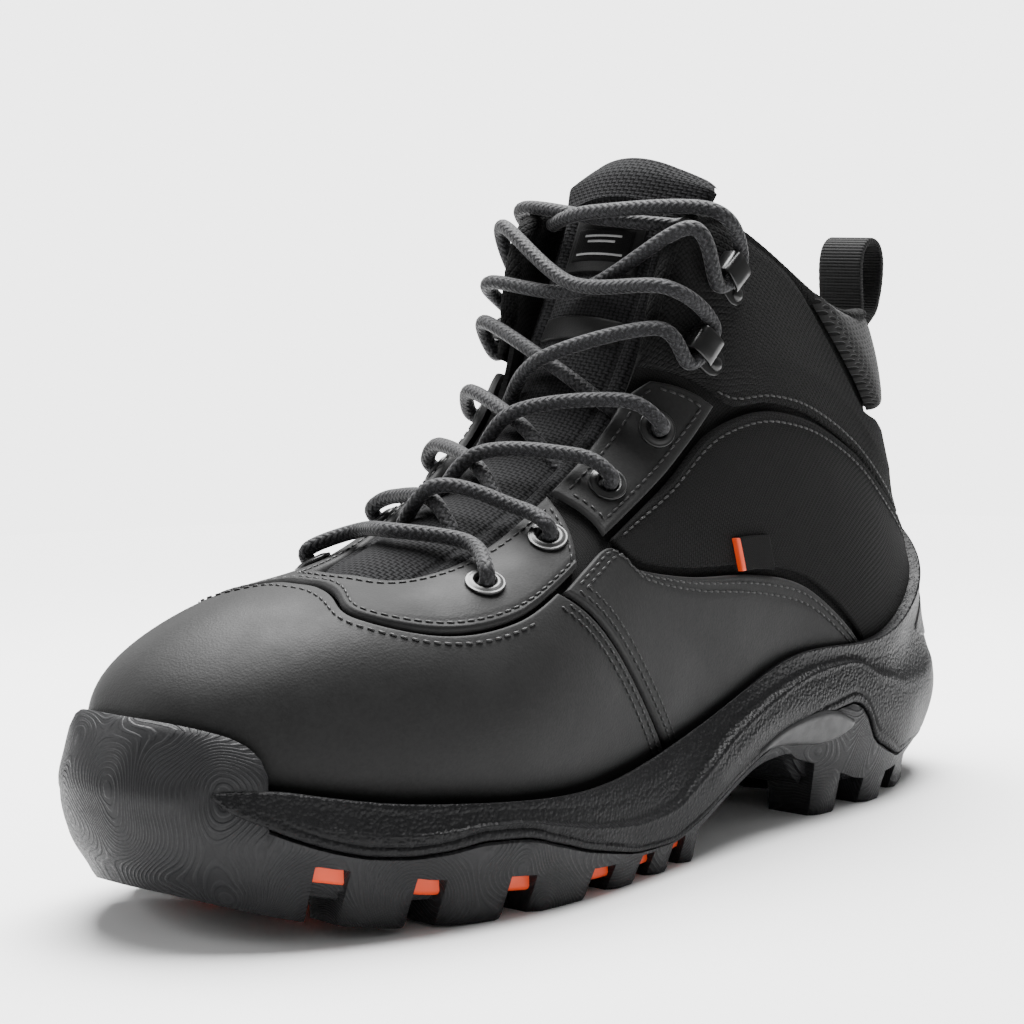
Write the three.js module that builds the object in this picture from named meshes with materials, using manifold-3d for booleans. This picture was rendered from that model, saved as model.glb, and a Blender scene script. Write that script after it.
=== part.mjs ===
// Left hiking boot, mid height, laced through eyelets and speed hooks.
// Millimetres; toe towards -Y, outer side of the foot +X, +Z up, standing on Z = 0.
import * as THREE from "three";
import { mergeVertices } from "three/addons/utils/BufferGeometryUtils.js";
import Module from "manifold-3d";

const wasm = await Module();
wasm.setup();

// ---- Driving dimensions -------------------------------------------------------------
const CENTRE = [0.82, -1, 0]; // shift that puts the origin under the middle of the boot
const GAP = 0.35; // clearance between pieces that touch
const LEATHER = [-1.9, 0]; // layers, measured along the outward normal of the upper
const TEXTILE = [-1.9, -0.5];
const LINING = [-4.9, -3.5];
const COLLAR = [-1.9, 2.4];
const RUBBER_EDGE = 2.2; // thickness of the sole wall's upper rim over the upper
const BOARD_THICK = 2;
const FOOTBED_THICK = 4;
const TONGUE_THICK = 6;
const LACE_R = 2.1;
const EYELET_HOLE_R = 2.65;
const EYELET_R = 5.4;
const HOOK_LENGTH = 8;
const LOOP_WIDTH = 16;
const LOOP_THICK = 1.8;
const TOE_LEAN = 13; // how far the tip of the toe leans to the inner side
const HEEL = 10; // stations go once round the boot: 0 toe, 10 heel, then the inner side
const MIRROR = 2 * HEEL;

// Outer surface of the upper: [half width, y, z] at eleven stations from toe centre to heel
// centre, with rows from the feather edge at the sole up to the throat and top line.
const UPPER_NET = [
  [[0, -136, 33], [0, -144, 44], [0, -142, 63], [0, -113, 80], [0, -80, 86]],
  [[25, -126, 31], [27, -135, 43], [25, -132, 63], [17, -108, 79], [9, -79, 86]],
  [[38, -104, 28], [43, -109, 43], [40, -104, 64], [29, -93, 79], [16, -72, 85]],
  [[45, -66, 25], [51, -66, 43], [49, -64, 64], [37, -59, 81], [20, -51, 90]],
  [[43, -25, 25], [49, -24, 45], [47, -23, 72], [38, -22, 93], [22, -26, 103]],
  [[38, 15, 27], [44, 16, 48], [43, 13, 78], [37, 6, 106], [24, -3, 120]],
  [[36, 55, 29], [42, 54, 52], [41, 48, 88], [37, 34, 125], [28, 12, 147]],
  [[36, 92, 30], [42, 90, 54], [39, 84, 90], [36, 64, 130], [31, 32, 177]],
  [[32, 118, 31], [37, 118, 55], [33, 113, 90], [30, 103, 120], [29, 87, 151]],
  [[20, 138, 31.5], [24, 143, 56], [20, 136, 89], [20, 127, 118.5], [20, 119, 144]],
  [[0, 144, 32], [0, 150, 56], [0, 143, 88], [0, 134, 118], [0, 134, 142]],
];

// Wall of the sole unit at the same stations, from the tread edge upwards. Its rim is laid
// on the upper, at the height on the upper that RIM gives for each station.
const WALL_NET = [
  [[0, -145, 18], [0, -152, 24], [0, -155, 36], [0, -152, 48]],
  [[24, -136, 14], [26, -142, 21], [28, -144, 33], [28, -141, 44]],
  [[42, -110, 8], [45, -112, 14], [48, -113, 24], [47, -111, 33]],
  [[51, -67, 5], [53, -67, 11], [55, -67, 19], [54, -67, 27]],
  [[51, -25, 5], [53, -25, 9], [54, -25, 16], [53, -25, 24]],
  [[46, 15, 11], [48, 15, 16], [50, 15, 24], [48, 15, 33]],
  [[41, 52, 20], [44, 52, 26], [47, 53, 34], [46, 54, 43]],
  [[42, 92, 7], [44, 93, 15], [46, 94, 27], [45, 94, 40]],
  [[35, 118, 7], [38, 120, 15], [40, 122, 28], [38, 120, 43]],
  [[21, 141, 7], [24, 146, 15], [26, 149, 29], [24, 146, 50]],
  [[0, 149, 8], [0, 154, 16], [0, 157, 30], [0, 154, 56]],
];
const RIM = [0.42, 0.38, 0.22, 0.12, 0.1, 0.15, 0.23, 0.21, 0.25, 0.36, 0.46];

// Side profile [y, z] of the foam midsole: everything of the sole inside it is foam.
const MIDSOLE_LINE = [
  [-126, 31], [-118, 25], [-102, 23], [-84, 23], [-69, 21], [-48, 14], [-27, 9], [-8, 8],
  [7, 12], [23, 18], [44, 25], [65, 31], [81, 33], [88, 29], [92, 20], [110, 12],
  [146, 13], [170, 14],
];
const MIDSOLE_TOP = [[170, 110], [-104, 110], [-104, 40], [-113, 34]];

// Heights [y, z] of the lugs' feet and of the tread bed that they stand on.
const GROUND_LINE = [
  [-160, 17], [-140, 11], [-120, 5], [-100, 1.5], [-80, 0], [8, 0], [20, 9],
  [60, 12], [66, 0], [136, 0], [146, 2], [160, 8],
];
const BED_LINE = [
  [-160, 22], [-140, 16], [-120, 11], [-100, 8], [-80, 6.5], [-5, 6.5], [8, 9],
  [20, 14], [40, 20], [58, 21], [66, 9], [74, 7], [140, 7], [160, 12],
];

// Panel outlines on the upper: [station, height 0..1] along the lower and upper edges.
const EYESTAY_EDGE = [
  [0, 0.91], [0.6, 0.905], [1.2, 0.86], [1.8, 0.75], [2.45, 0.655], [3, 0.65], [3.4, 0.68],
  [3.65, 0.7], [4.05, 0.73], [4.6, 0.74], [5.1, 0.74], [5.55, 0.742], [5.84, 0.75],
];
const SEAM_FOOT = 4.72; // station where the seam of vamp and quarter meets the sole
const SEAM_HEAD = 3.42;
const QUARTER_TOP = [
  [3.47, 0.66], [3.75, 0.685], [4.02, 0.69], [4.25, 0.59], [4.9, 0.505], [5.75, 0.425],
  [6.25, 0.375], [6.6, 0.31], [6.95, 0.22], [7.3, 0.1],
];
const ARCH_TOP = [
  [4.12, 0.71], [4.6, 0.722], [5.1, 0.722], [5.55, 0.724], [6.05, 0.7], [6.6, 0.68],
  [7.15, 0.655], [7.65, 0.6], [8.2, 0.5], [8.85, 0.4],
];
const COLLAR_SIDE = [
  [5.65, 0.995], [6.2, 0.995], [6.8, 0.995], [7.35, 0.995], [7.74, 0.985], [7.93, 0.86],
  [8.15, 0.73], [8.85, 0.68],
];

// Lace holes and hooks of one side, from the toe upwards, as [station, height].
const EYELETS = [[2.9, 0.82], [3.6, 0.86], [4.45, 0.86], [5.25, 0.85]];
const HOOKS = [[6.08, 0.88], [6.8, 0.915]];

// Tongue: [y, z] of its centre line, its half width and how far its sides drop.
const TONGUE = [
  [-92, 76, 16, 6], [-72, 87, 22, 9], [-50, 95, 27, 12], [-26, 105, 30, 13],
  [-3, 121, 29, 13], [13, 144, 28, 12], [25, 166, 26, 9], [31, 178, 26, 7],
];
const FLAP = [[32.5, 180.5, 26, 7], [36, 187, 27, 7], [41, 191, 24, 7]];

// ---- Splines and surfaces -----------------------------------------------------------
const vec = (a) => new THREE.Vector3(a[0], a[1], a[2]);
const lerp = (a, b, t) => a + (b - a) * t;

// Point at 0..1 along a list of knots, by a uniform Catmull-Rom spline.
function along(knots, t) {
  const last = knots.length - 1;
  const i = Math.max(0, Math.min(Math.floor(t * last), last - 1));
  const f = t * last - i;
  const p = [-1, 0, 1, 2].map((k) => knots[Math.min(Math.max(i + k, 0), last)]);
  return p[1].map((_, c) => {
    const [a, b, d, e] = p.map((q) => q[c]);
    const m0 = (d - a) / 2;
    const m1 = (e - b) / 2;
    return b + f * (m0 + f * (3 * (d - b) - 2 * m0 - m1 + f * (2 * (b - d) + m0 + m1)));
  });
}

// Height of a [y, z] line at y, straight between its points.
function heightAt(line, y) {
  const i = Math.max(1, line.findIndex((p) => p[0] >= y));
  const [a, b] = [line[i - 1], line[i]];
  return lerp(a[1], b[1], (y - a[0]) / (b[0] - a[0]));
}

function lean(y) {
  const t = Math.min(Math.max((-55 - y) / 100, 0), 1);
  return -TOE_LEAN * t * t * (3 - 2 * t);
}

// Makes the closed table of a whole boot from one side, leaning the toe inwards.
function roundTheBoot(half) {
  const inner = half.slice(1, -1).reverse();
  const turn = (row, side) => row.map(([x, y, z]) => [side * x + lean(y), y, z]);
  return [...half.map((r) => turn(r, 1)), ...inner.map((r) => turn(r, -1))];
}

const spread = (w) => [
  (1 - w) ** 3 / 6,
  (3 * w ** 3 - 6 * w ** 2 + 4) / 6,
  (-3 * w ** 3 + 3 * w ** 2 + 3 * w + 1) / 6,
  w ** 3 / 6,
];

// Control points whose closed cubic B-spline passes through the given points.
function passThrough(points, before, after) {
  let c = points.map((p) => [...p]);
  for (let round = 0; round < 40; round++) {
    c = c.map((p, i) => {
      const prev = before(c, i);
      const next = after(c, i);
      return p.map((v, k) => v + points[i][k] - (prev[k] + 4 * v + next[k]) / 6);
    });
  }
  return c;
}
const wrap = (c, i) => c[(i + c.length) % c.length];
const beyond = (a, b) => a.map((v, k) => 2 * v - b[k]);

function fitRing(points) {
  return passThrough(points, (c, i) => wrap(c, i - 1), (c, i) => wrap(c, i + 1));
}
function fitLine(points) {
  const prev = (c, i) => (i ? c[i - 1] : beyond(c[0], c[1]));
  const n = points.length - 1;
  const next = (c, i) => (i < n ? c[i + 1] : beyond(c[n], c[n - 1]));
  const c = passThrough(points, prev, next);
  return [beyond(c[0], c[1]), ...c, beyond(c[n], c[n - 1])];
}

// Control net of a surface closed in the station direction.
function fitNet(table) {
  const columns = table[0].map((_, row) => fitRing(table.map((station) => station[row])));
  return table.map((_, i) => fitLine(columns.map((column) => column[i])));
}

function netPoint(net, u, v) {
  const n = net.length;
  const rows = net[0].length - 3;
  const i = Math.floor(u);
  const j = Math.min(Math.max(Math.floor(v * rows), 0), rows - 1);
  const wu = spread(u - i);
  const wv = spread(v * rows - j);
  const out = new THREE.Vector3();
  for (let a = 0; a < 4; a++) {
    const line = net[(((i - 1 + a) % n) + n) % n];
    for (let b = 0; b < 4; b++) out.addScaledVector(vec(line[j + b]), wu[a] * wv[b]);
  }
  return out;
}

function normalOf(point, u, v) {
  const e = 1e-3;
  const du = point(u + e, v).sub(point(u - e, v));
  const dv = point(u, v + e).sub(point(u, v - e));
  return du.cross(dv).normalize();
}

const upperNet = fitNet(roundTheBoot(UPPER_NET));
const upper = (u, v) => netPoint(upperNet, u, v);
const onUpper = (u, v, lift) => upper(u, v).addScaledVector(normalOf(upper, u, v), lift);

const wallRows = WALL_NET[0].map((_, row) => {
  return fitRing(roundTheBoot(WALL_NET).map((station) => station[row]));
});
const rimHeights = fitRing([...RIM, ...RIM.slice(1, -1).reverse()].map((v) => [v]));
function ringPoint(ring, u) {
  const i = Math.floor(u);
  const w = spread(u - i);
  const p = [0, 1, 2, 3].map((a) => wrap(ring, (i - 1 + a + ring.length) % ring.length));
  return p[0].map((_, k) => w.reduce((sum, wa, a) => sum + wa * p[a][k], 0));
}
function wallPoint(u, w) {
  const rim = onUpper(u, ringPoint(rimHeights, u)[0], RUBBER_EDGE);
  const knots = [...wallRows.map((ring) => ringPoint(ring, u)), rim.toArray()];
  return vec(along(knots, w));
}
const onWall = (u, w, lift) => {
  return wallPoint(u, w).addScaledVector(normalOf(wallPoint, u, w), lift);
};

// ---- Solids -------------------------------------------------------------------------
// Closed body between two grids of points; skin(i, j, side) gives a point, side 0 inner.
function shell(nu, nv, skin, ring = false) {
  const cols = ring ? nu : nu + 1;
  const positions = [];
  for (const side of [0, 1])
    for (let i = 0; i < cols; i++)
      for (let j = 0; j <= nv; j++) positions.push(...skin(i, j, side).toArray());
  const id = (i, j, side) => (side * cols + (i % cols)) * (nv + 1) + j;
  const faces = [];
  const quad = (a, b, c, d) => faces.push(a, b, c, a, c, d);
  for (let i = 0; i < nu; i++) {
    for (let j = 0; j < nv; j++) {
      quad(id(i, j, 1), id(i + 1, j, 1), id(i + 1, j + 1, 1), id(i, j + 1, 1));
      quad(id(i, j, 0), id(i, j + 1, 0), id(i + 1, j + 1, 0), id(i + 1, j, 0));
    }
    quad(id(i, 0, 0), id(i + 1, 0, 0), id(i + 1, 0, 1), id(i, 0, 1));
    quad(id(i, nv, 1), id(i + 1, nv, 1), id(i + 1, nv, 0), id(i, nv, 0));
  }
  for (let j = 0; j < nv && !ring; j++) {
    quad(id(0, j, 0), id(0, j, 1), id(0, j + 1, 1), id(0, j + 1, 0));
    quad(id(nu, j, 1), id(nu, j, 0), id(nu, j + 1, 0), id(nu, j + 1, 1));
  }
  const geometry = new THREE.BufferGeometry();
  geometry.setAttribute("position", new THREE.Float32BufferAttribute(positions, 3));
  geometry.setIndex(faces);
  return geometry;
}

function solid(geometry) {
  const bare = geometry.clone();
  bare.deleteAttribute("normal");
  bare.deleteAttribute("uv");
  const merged = mergeVertices(bare, 1e-4);
  const vertProperties = merged.attributes.position.array;
  const triVerts = new Uint32Array(merged.index.array);
  return new wasm.Manifold(new wasm.Mesh({ numProp: 3, vertProperties, triVerts }));
}

function largest(body) {
  return body.decompose().sort((a, b) => b.volume() - a.volume())[0];
}

function geometryOf(body) {
  const mesh = body.getMesh();
  const geometry = new THREE.BufferGeometry();
  geometry.setAttribute("position", new THREE.BufferAttribute(mesh.vertProperties, 3));
  geometry.setIndex(new THREE.BufferAttribute(mesh.triVerts, 1));
  return geometry;
}

// Room left in the sole for the pieces of the upper that stand in it: the panel itself,
// a little thicker and running a little past each of its edges.
const panelRooms = [];
const ROOM_MARGIN = 0.008;
function bedded(low, high, nu, nv, layer) {
  const past = (i, n) => {
    if (i === 0) return -ROOM_MARGIN;
    return i === n + 2 ? 1 + ROOM_MARGIN : (i - 1) / n;
  };
  const room = shell(nu + 2, nv + 2, (i, j, side) => {
    const a = along(low, past(i, nu));
    const b = along(high, past(i, nu));
    const t = past(j, nv);
    const lift = side ? layer[1] + 1.5 * GAP : -4;
    return onUpper(lerp(a[0], b[0], t), lerp(a[1], b[1], t), lift);
  });
  panelRooms.push(solid(room));
  return panel(low, high, nu, nv, layer);
}

// Panel of the upper between a lower and an upper edge, in one of the layers.
function panel(low, high, nu, nv, layer, point = onUpper) {
  return shell(nu, nv, (i, j, side) => {
    const a = along(low, i / nu);
    const b = along(high, i / nu);
    return point(lerp(a[0], b[0], j / nv), lerp(a[1], b[1], j / nv), layer[side]);
  });
}
const mirrored = (edge) => edge.map(([u, v]) => [MIRROR - u, v]).reverse();
const lifted = (edge, dv) => edge.map(([u, v]) => [u, v + dv]);
const row = (from, to, v) => [0, 1, 2, 3, 4, 5, 6].map((i) => [lerp(from, to, i / 6), v]);

// Body inside a stack of closed rings; each end is closed straight across from side to side,
// point 0 and the middle point of a ring being its two tips.
function stack(rings) {
  const n = rings[0].length;
  const points = rings.flat();
  const faces = [];
  rings.slice(1).forEach((_, k) => {
    for (let i = 0; i < n; i++) {
      const [a, b] = [k * n + i, k * n + ((i + 1) % n)];
      faces.push(a, b, b + n, a, b + n, a + n);
    }
  });
  const top = (rings.length - 1) * n;
  const close = (a, b, c) => {
    faces.push(a, c, b, top + a, top + b, top + c);
  };
  for (let i = 0; i + 1 < n - i; i++) {
    if (i) close(i, n - i - 1, n - i);
    if (i + 1 < n - i - 1) close(i, i + 1, n - i - 1);
  }
  const geometry = new THREE.BufferGeometry();
  const array = points.flatMap((p) => p.toArray());
  geometry.setAttribute("position", new THREE.Float32BufferAttribute(array, 3));
  geometry.setIndex(faces);
  return geometry;
}

// Plate that spans the boot from side to side; edge(u) gives its rim, lifts its two faces.
function plate(edge, low, high, steps, across) {
  return shell(across, steps, (i, j, side) => {
    const u = lerp(0.25, HEEL - 0.3, j / steps);
    const [outer, inner] = [edge(u), edge(MIRROR - u)];
    const p = inner.lerp(outer, i / across);
    p.z += side ? high : low;
    return p;
  });
}

// Frame at a point of the upper: out of the surface, towards the throat, and along it.
function seat(u, v) {
  const out = normalOf(upper, u, v);
  const throat = upper(u, v + 1e-3).sub(upper(u, v - 1e-3));
  throat.addScaledVector(out, -throat.dot(out)).normalize();
  const run = new THREE.Vector3().crossVectors(throat, out);
  return { origin: upper(u, v), out, throat, run };
}

// ---- The boot -----------------------------------------------------------------------
const boot = new THREE.Group();
const paint = (color, roughness, metalness = 0) => {
  return new THREE.MeshStandardMaterial({ color, roughness, metalness });
};
const leather = paint(0x2b2b2d, 0.55);
const textile = paint(0x1d1d20, 0.9);
const meshFabric = paint(0x242428, 0.85);
const rubber = paint(0x2e2f33, 0.7);
const foam = paint(0x27282b, 0.75);
const orange = paint(0xf56e32, 0.6);
const steel = paint(0x151517, 0.25, 0.6);
const cord = paint(0x34343a, 0.8);
const board = paint(0x55504a, 0.9);

function add(name, geometry, material) {
  const mesh = new THREE.Mesh(geometry, material);
  mesh.name = name;
  boot.add(mesh);
  return mesh;
}

// Lacing: centre line of the lace through the eyelets, hooks and over the tongue.
const side = (u, inner) => (inner ? MIRROR - u : u);
function tongueSection(t) {
  const knots = [...TONGUE, ...FLAP];
  const [y, z, width, drop] = along(knots, t);
  const a = along(knots, Math.max(t - 0.01, 0));
  const b = along(knots, Math.min(t + 0.01, 1));
  const slope = new THREE.Vector3(0, b[0] - a[0], b[1] - a[1]).normalize();
  const out = new THREE.Vector3(0, -slope.z, slope.y);
  return { y, z, width, drop, out };
}
function onTongue(t, s, lift) {
  const { y, z, width, drop, out } = tongueSection(t);
  const p = new THREE.Vector3(s * width + lean(y), y, z);
  return p.addScaledVector(out, lift - drop * s * s);
}

function throughEyelet(k, inner) {
  const [u, v] = EYELETS[k];
  const at = seat(side(u, inner), v);
  const point = (throat, out) => {
    return at.origin.clone().addScaledVector(at.throat, throat).addScaledVector(at.out, out);
  };
  const rim = seat(side(u, inner), 1);
  const over = rim.origin.clone().addScaledVector(rim.out, LACE_R + 1.9);
  const under = rim.origin.clone().addScaledVector(rim.out, -LACE_R - 5.1);
  under.addScaledVector(rim.throat, 2);
  return [over, point(0.3, 4.1), point(0, -2.2), point(0.3, -LACE_R - 6.9), under];
}

function roundHook(k, inner) {
  const [u, v] = HOOKS[k];
  const at = seat(side(u, inner), v);
  const up = inner ? -1 : 1;
  const point = (throat, along) => {
    const p = at.origin.clone().addScaledVector(at.throat, throat);
    return p.addScaledVector(at.run, up * along).addScaledVector(at.out, LACE_R + 1.9);
  };
  const over = (du) => {
    const rim = seat(side(u + du, inner), 1);
    return rim.origin.addScaledVector(rim.out, LACE_R + 2.4);
  };
  return [over(-0.12), point(0.1, -6.6), point(0.1, 6.6), over(0.16)];
}

// Where the two runs of the lace cross on the tongue, and how high the upper run goes.
const CROSSINGS = [0.225, 0.3, 0.374, 0.452, 0.54];
const TOP_CROSSING = 0.65;
const BAR = 0.15;

function halfLace(startInner) {
  let inner = startInner;
  let points = [];
  EYELETS.forEach((_, k) => {
    points = [...points, ...throughEyelet(k, inner)];
    const lifted = (k % 2 === 0) === startInner;
    points.push(onTongue(CROSSINGS[k], 0, lifted ? 8.4 : 3.7));
    inner = !inner;
  });
  HOOKS.forEach((_, k) => {
    points = [...points, ...roundHook(k, inner)];
    const t = k ? TOP_CROSSING : CROSSINGS[4];
    points.push(onTongue(t, 0, startInner === (k === 1) ? 8.4 : 3.7));
    inner = !inner;
  });
  const x = inner ? -1 : 1;
  const tail = [[22, 29, 173], [24, 38.5, 172], [23.5, 47, 158], [22, 55, 138]];
  return [...points, ...tail.map(([a, y, z]) => new THREE.Vector3(x * a, y, z))];
}

// Route that takes its knots exactly, one for each step of the sweep.
class Route extends THREE.Curve {
  constructor(knots) {
    super();
    this.knots = knots;
  }
  getPoint(t) {
    const last = this.knots.length - 1;
    const i = Math.min(Math.floor(t * last), last - 1);
    return this.knots[i].clone().lerp(this.knots[i + 1], t * last - i);
  }
  getUtoTmapping(u) {
    return u;
  }
  getTangent(t) {
    const last = this.knots.length - 1;
    const i = Math.round(t * last);
    const a = this.knots[Math.max(i - 1, 0)];
    const b = this.knots[Math.min(i + 1, last)];
    return b.clone().sub(a).normalize();
  }
}

function sweep(knots, radius, sides = 8) {
  const section = new THREE.Shape();
  section.absarc(0, 0, radius, 0, 2 * Math.PI, false);
  return new THREE.ExtrudeGeometry(section, {
    steps: knots.length - 1,
    curveSegments: sides / 2,
    extrudePath: new Route(knots),
  });
}

const lacePath = [
  ...halfLace(true).reverse(),
  onTongue(BAR, 0, 4.4),
  ...halfLace(false),
];
const laceTube = sweep(lacePath, LACE_R);
const laceRoom = solid(sweep(lacePath, LACE_R + 2 * GAP, 6));
add("lace", laceTube, cord);

// Aglets: the plain tips of the lace, in line with its ends inside the boot.
for (const [name, end, before] of [
  ["aglet_inner", lacePath[0], lacePath[1]],
  ["aglet_outer", lacePath[lacePath.length - 1], lacePath[lacePath.length - 2]],
]) {
  const way = end.clone().sub(before).normalize();
  const tip = new THREE.CylinderGeometry(1.7, 1.9, 22, 10);
  tip.rotateX(Math.PI / 2);
  const mesh = add(name, tip, steel);
  mesh.position.copy(end).addScaledVector(way, 11 + GAP);
  mesh.lookAt(mesh.position.clone().add(way));
}

// Eyelets: rolled rings set through the eyestay and the lining.
const EYELET_PROFILE = [
  [EYELET_HOLE_R, -6.1], [EYELET_HOLE_R, 0.6], [3.6, 1.3], [EYELET_R, 0.8], [EYELET_R, GAP],
  [3.3, GAP], [3.3, -5.7], [4.1, -5.7], [4.1, -6.1], [EYELET_HOLE_R, -6.1],
];
const holes = [];
function stand(object, at) {
  const turn = new THREE.Matrix4().makeBasis(at.run, at.throat, at.out);
  object.quaternion.setFromRotationMatrix(turn);
  object.position.copy(at.origin);
}
for (const inner of [false, true]) {
  EYELETS.forEach(([u, v], k) => {
    const profile = EYELET_PROFILE.map(([r, h]) => new THREE.Vector2(r, h)).reverse();
    const ring = new THREE.LatheGeometry(profile, 10);
    ring.rotateX(Math.PI / 2);
    const name = `eyelet_${inner ? "inner" : "outer"}_${k + 1}`;
    const at = seat(side(u, inner), v);
    stand(add(name, ring, steel), at);
    const drill = new THREE.CylinderGeometry(4.1, 4.1, 20, 6);
    drill.rotateX(Math.PI / 2);
    const tool = new THREE.Mesh(drill);
    stand(tool, at);
    tool.updateMatrix();
    holes.push(solid(drill.applyMatrix4(tool.matrix)));
  });
}
const drilled = (geometry) => holes.reduce((body, hole) => body.subtract(hole), solid(geometry));

// Speed hooks: a plate on the upper, rolled over at the throat side into an open channel.
function hookOutline() {
  const s = new THREE.Shape();
  s.moveTo(-11, 0.7);
  s.lineTo(2.6, 0.7);
  s.quadraticCurveTo(4, 0.8, 4, 2.4);
  s.lineTo(4, 5.6);
  s.quadraticCurveTo(4, 7.6, 2, 7.6);
  s.lineTo(-2.5, 7.2);
  s.quadraticCurveTo(-4, 7, -4.6, 6.2);
  s.lineTo(-3.8, 5.8);
  s.quadraticCurveTo(-3.2, 6.2, -2.4, 6.3);
  s.lineTo(1.8, 6.5);
  s.quadraticCurveTo(2.9, 6.5, 2.9, 5.4);
  s.lineTo(2.9, 2.4);
  s.quadraticCurveTo(2.9, 1.6, 1.8, 1.6);
  s.lineTo(-11, 1.6);
  return s;
}
for (const inner of [false, true]) {
  HOOKS.forEach(([u, v], k) => {
    const options = { depth: HOOK_LENGTH, bevelEnabled: false, curveSegments: 3 };
    const rolled = new THREE.ExtrudeGeometry(hookOutline(), options);
    rolled.translate(0, 0, -HOOK_LENGTH / 2);
    const turn = new THREE.Matrix4().makeBasis(
      new THREE.Vector3(0, 1, 0),
      new THREE.Vector3(0, 0, 1),
      new THREE.Vector3(1, 0, 0),
    );
    rolled.applyMatrix4(turn);
    const rivet = new THREE.CylinderGeometry(1.6, 2.2, 1.2, 10);
    rivet.rotateX(Math.PI / 2);
    rivet.translate(0, -8.2, 1.9);
    const body = solid(rolled).add(solid(rivet));
    const name = `hook_${inner ? "inner" : "outer"}_${k + 1}`;
    stand(add(name, geometryOf(body), steel), seat(side(u, inner), v));
  });
}

// Inside: lasting board and footbed on the sole, and one lining round the whole foot.
const boardEdge = (u) => onUpper(u, 0.02, -7);
add("lasting_board", plate(boardEdge, -1.2, -1.2 + BOARD_THICK, 16, 3), board);
const bedLow = -1.2 + BOARD_THICK + GAP;
add("footbed", plate(boardEdge, bedLow, bedLow + FOOTBED_THICK, 16, 3), textile);
const liningSkin = (i, j, s) => onUpper((i / 40) * MIRROR, lerp(0, 0.99, j / 8), LINING[s]);
add("lining", geometryOf(drilled(shell(40, 8, liningSkin, true))), textile);

// Vamp: one piece round the toe, from seam to seam, up to the eyestay.
const edgeTo = (limit, dv) => {
  const half = EYESTAY_EDGE.filter(([u]) => u <= limit);
  const other = half.slice(1).reverse().map(([u, v]) => [-u, v]);
  return lifted([...other, ...half], dv);
};
const vampLow = row(-SEAM_FOOT, SEAM_FOOT, 0);
add("vamp", bedded(vampLow, edgeTo(SEAM_HEAD, -0.012), 26, 6, LEATHER), leather);

// Eyestay: a front piece round the throat and a rear piece on each side.
const FRONT_END = 4;
const frontEdge = edgeTo(FRONT_END, 0.005);
const frontHigh = frontEdge.map(([u]) => [u * (FRONT_END / 3.65), 0.99]);
add("eyestay_front", geometryOf(drilled(panel(frontEdge, frontHigh, 22, 2, LEATHER))), leather);
const rearLow = EYESTAY_EDGE.filter(([u]) => u > FRONT_END).map(([u, v]) => [u, v + 0.005]);
const rearHigh = [[4.06, 0.99], [4.55, 0.99], [5, 0.99], [5.35, 0.985], [5.6, 0.94]];
const rear = (flip) => {
  const [low, high] = flip ? [mirrored(rearLow), mirrored(rearHigh)] : [rearLow, rearHigh];
  return geometryOf(drilled(panel(low, high, 9, 2, LEATHER)));
};
add("eyestay_rear_outer", rear(false), leather);
add("eyestay_rear_inner", rear(true), leather);

// Quarters: leather below, woven panel above it, ankle panel up to the collar.
const quarterLow = row(SEAM_FOOT + 0.05, 7.35, 0);
const wovenLow = [...QUARTER_TOP.slice(2).map(([u, v]) => [u + 0.07, v + 0.014]), [8.85, 0.02]];
const ankleLow = [
  [5.93, 0.77], [6.1, 0.718], [6.6, 0.697], [7.15, 0.672], [7.67, 0.617], [8.22, 0.517],
  [8.85, 0.417],
];
for (const inner of [false, true]) {
  const turn = inner ? mirrored : (edge) => edge;
  const name = inner ? "inner" : "outer";
  const make = (low, high, nu, nv, layer) => bedded(turn(low), turn(high), nu, nv, layer);
  add(`quarter_leather_${name}`, make(quarterLow, QUARTER_TOP, 12, 4, LEATHER), leather);
  add(`quarter_textile_${name}`, make(wovenLow, ARCH_TOP, 12, 4, TEXTILE), textile);
  add(`ankle_panel_${name}`, make(ankleLow, COLLAR_SIDE, 11, 4, TEXTILE), textile);
}

// Heel: leather backstay and the padded mesh round the back of the collar.
add("backstay", bedded(row(8.95, 11.05, 0.02), row(8.95, 11.05, 0.68), 8, 7, LEATHER), leather);
const collarLow = row(8.5, 11.5, 0.715);
add("collar_mesh", panel(collarLow, row(7.92, 12.08, 0.995), 14, 4, COLLAR), meshFabric);

// Sole unit: one body inside the wall, hollowed for the upper, then split.
const SOLE_STEPS = 44;
const around = Array.from({ length: SOLE_STEPS }, (_, i) => (i / SOLE_STEPS) * MIRROR);
const bedRing = around.map((u) => {
  const p = wallPoint(u, 0);
  return new THREE.Vector3(p.x * 0.6, p.y * 0.97, heightAt(BED_LINE, p.y * 0.97));
});
const wallRings = [0, 0.25, 0.5, 0.75, 1].map((w) => around.map((u) => wallPoint(u, w)));
const capRing = around.map((u) => onUpper(u, ringPoint(rimHeights, u)[0], -3));
const soleBody = solid(stack([bedRing, ...wallRings, capRing]));
const lastRings = [0, 0.1, 0.25, 0.45, 0.6].map((v) => around.map((u) => onUpper(u, v, -1)));
const lastFoot = plate((u) => onUpper(u, 0, -1), -1.6, 6, 16, 3);
const lastBody = [solid(lastFoot), ...panelRooms].reduce((a, b) => a.add(b), solid(stack(lastRings)));
const cup = soleBody.subtract(lastBody);

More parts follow.
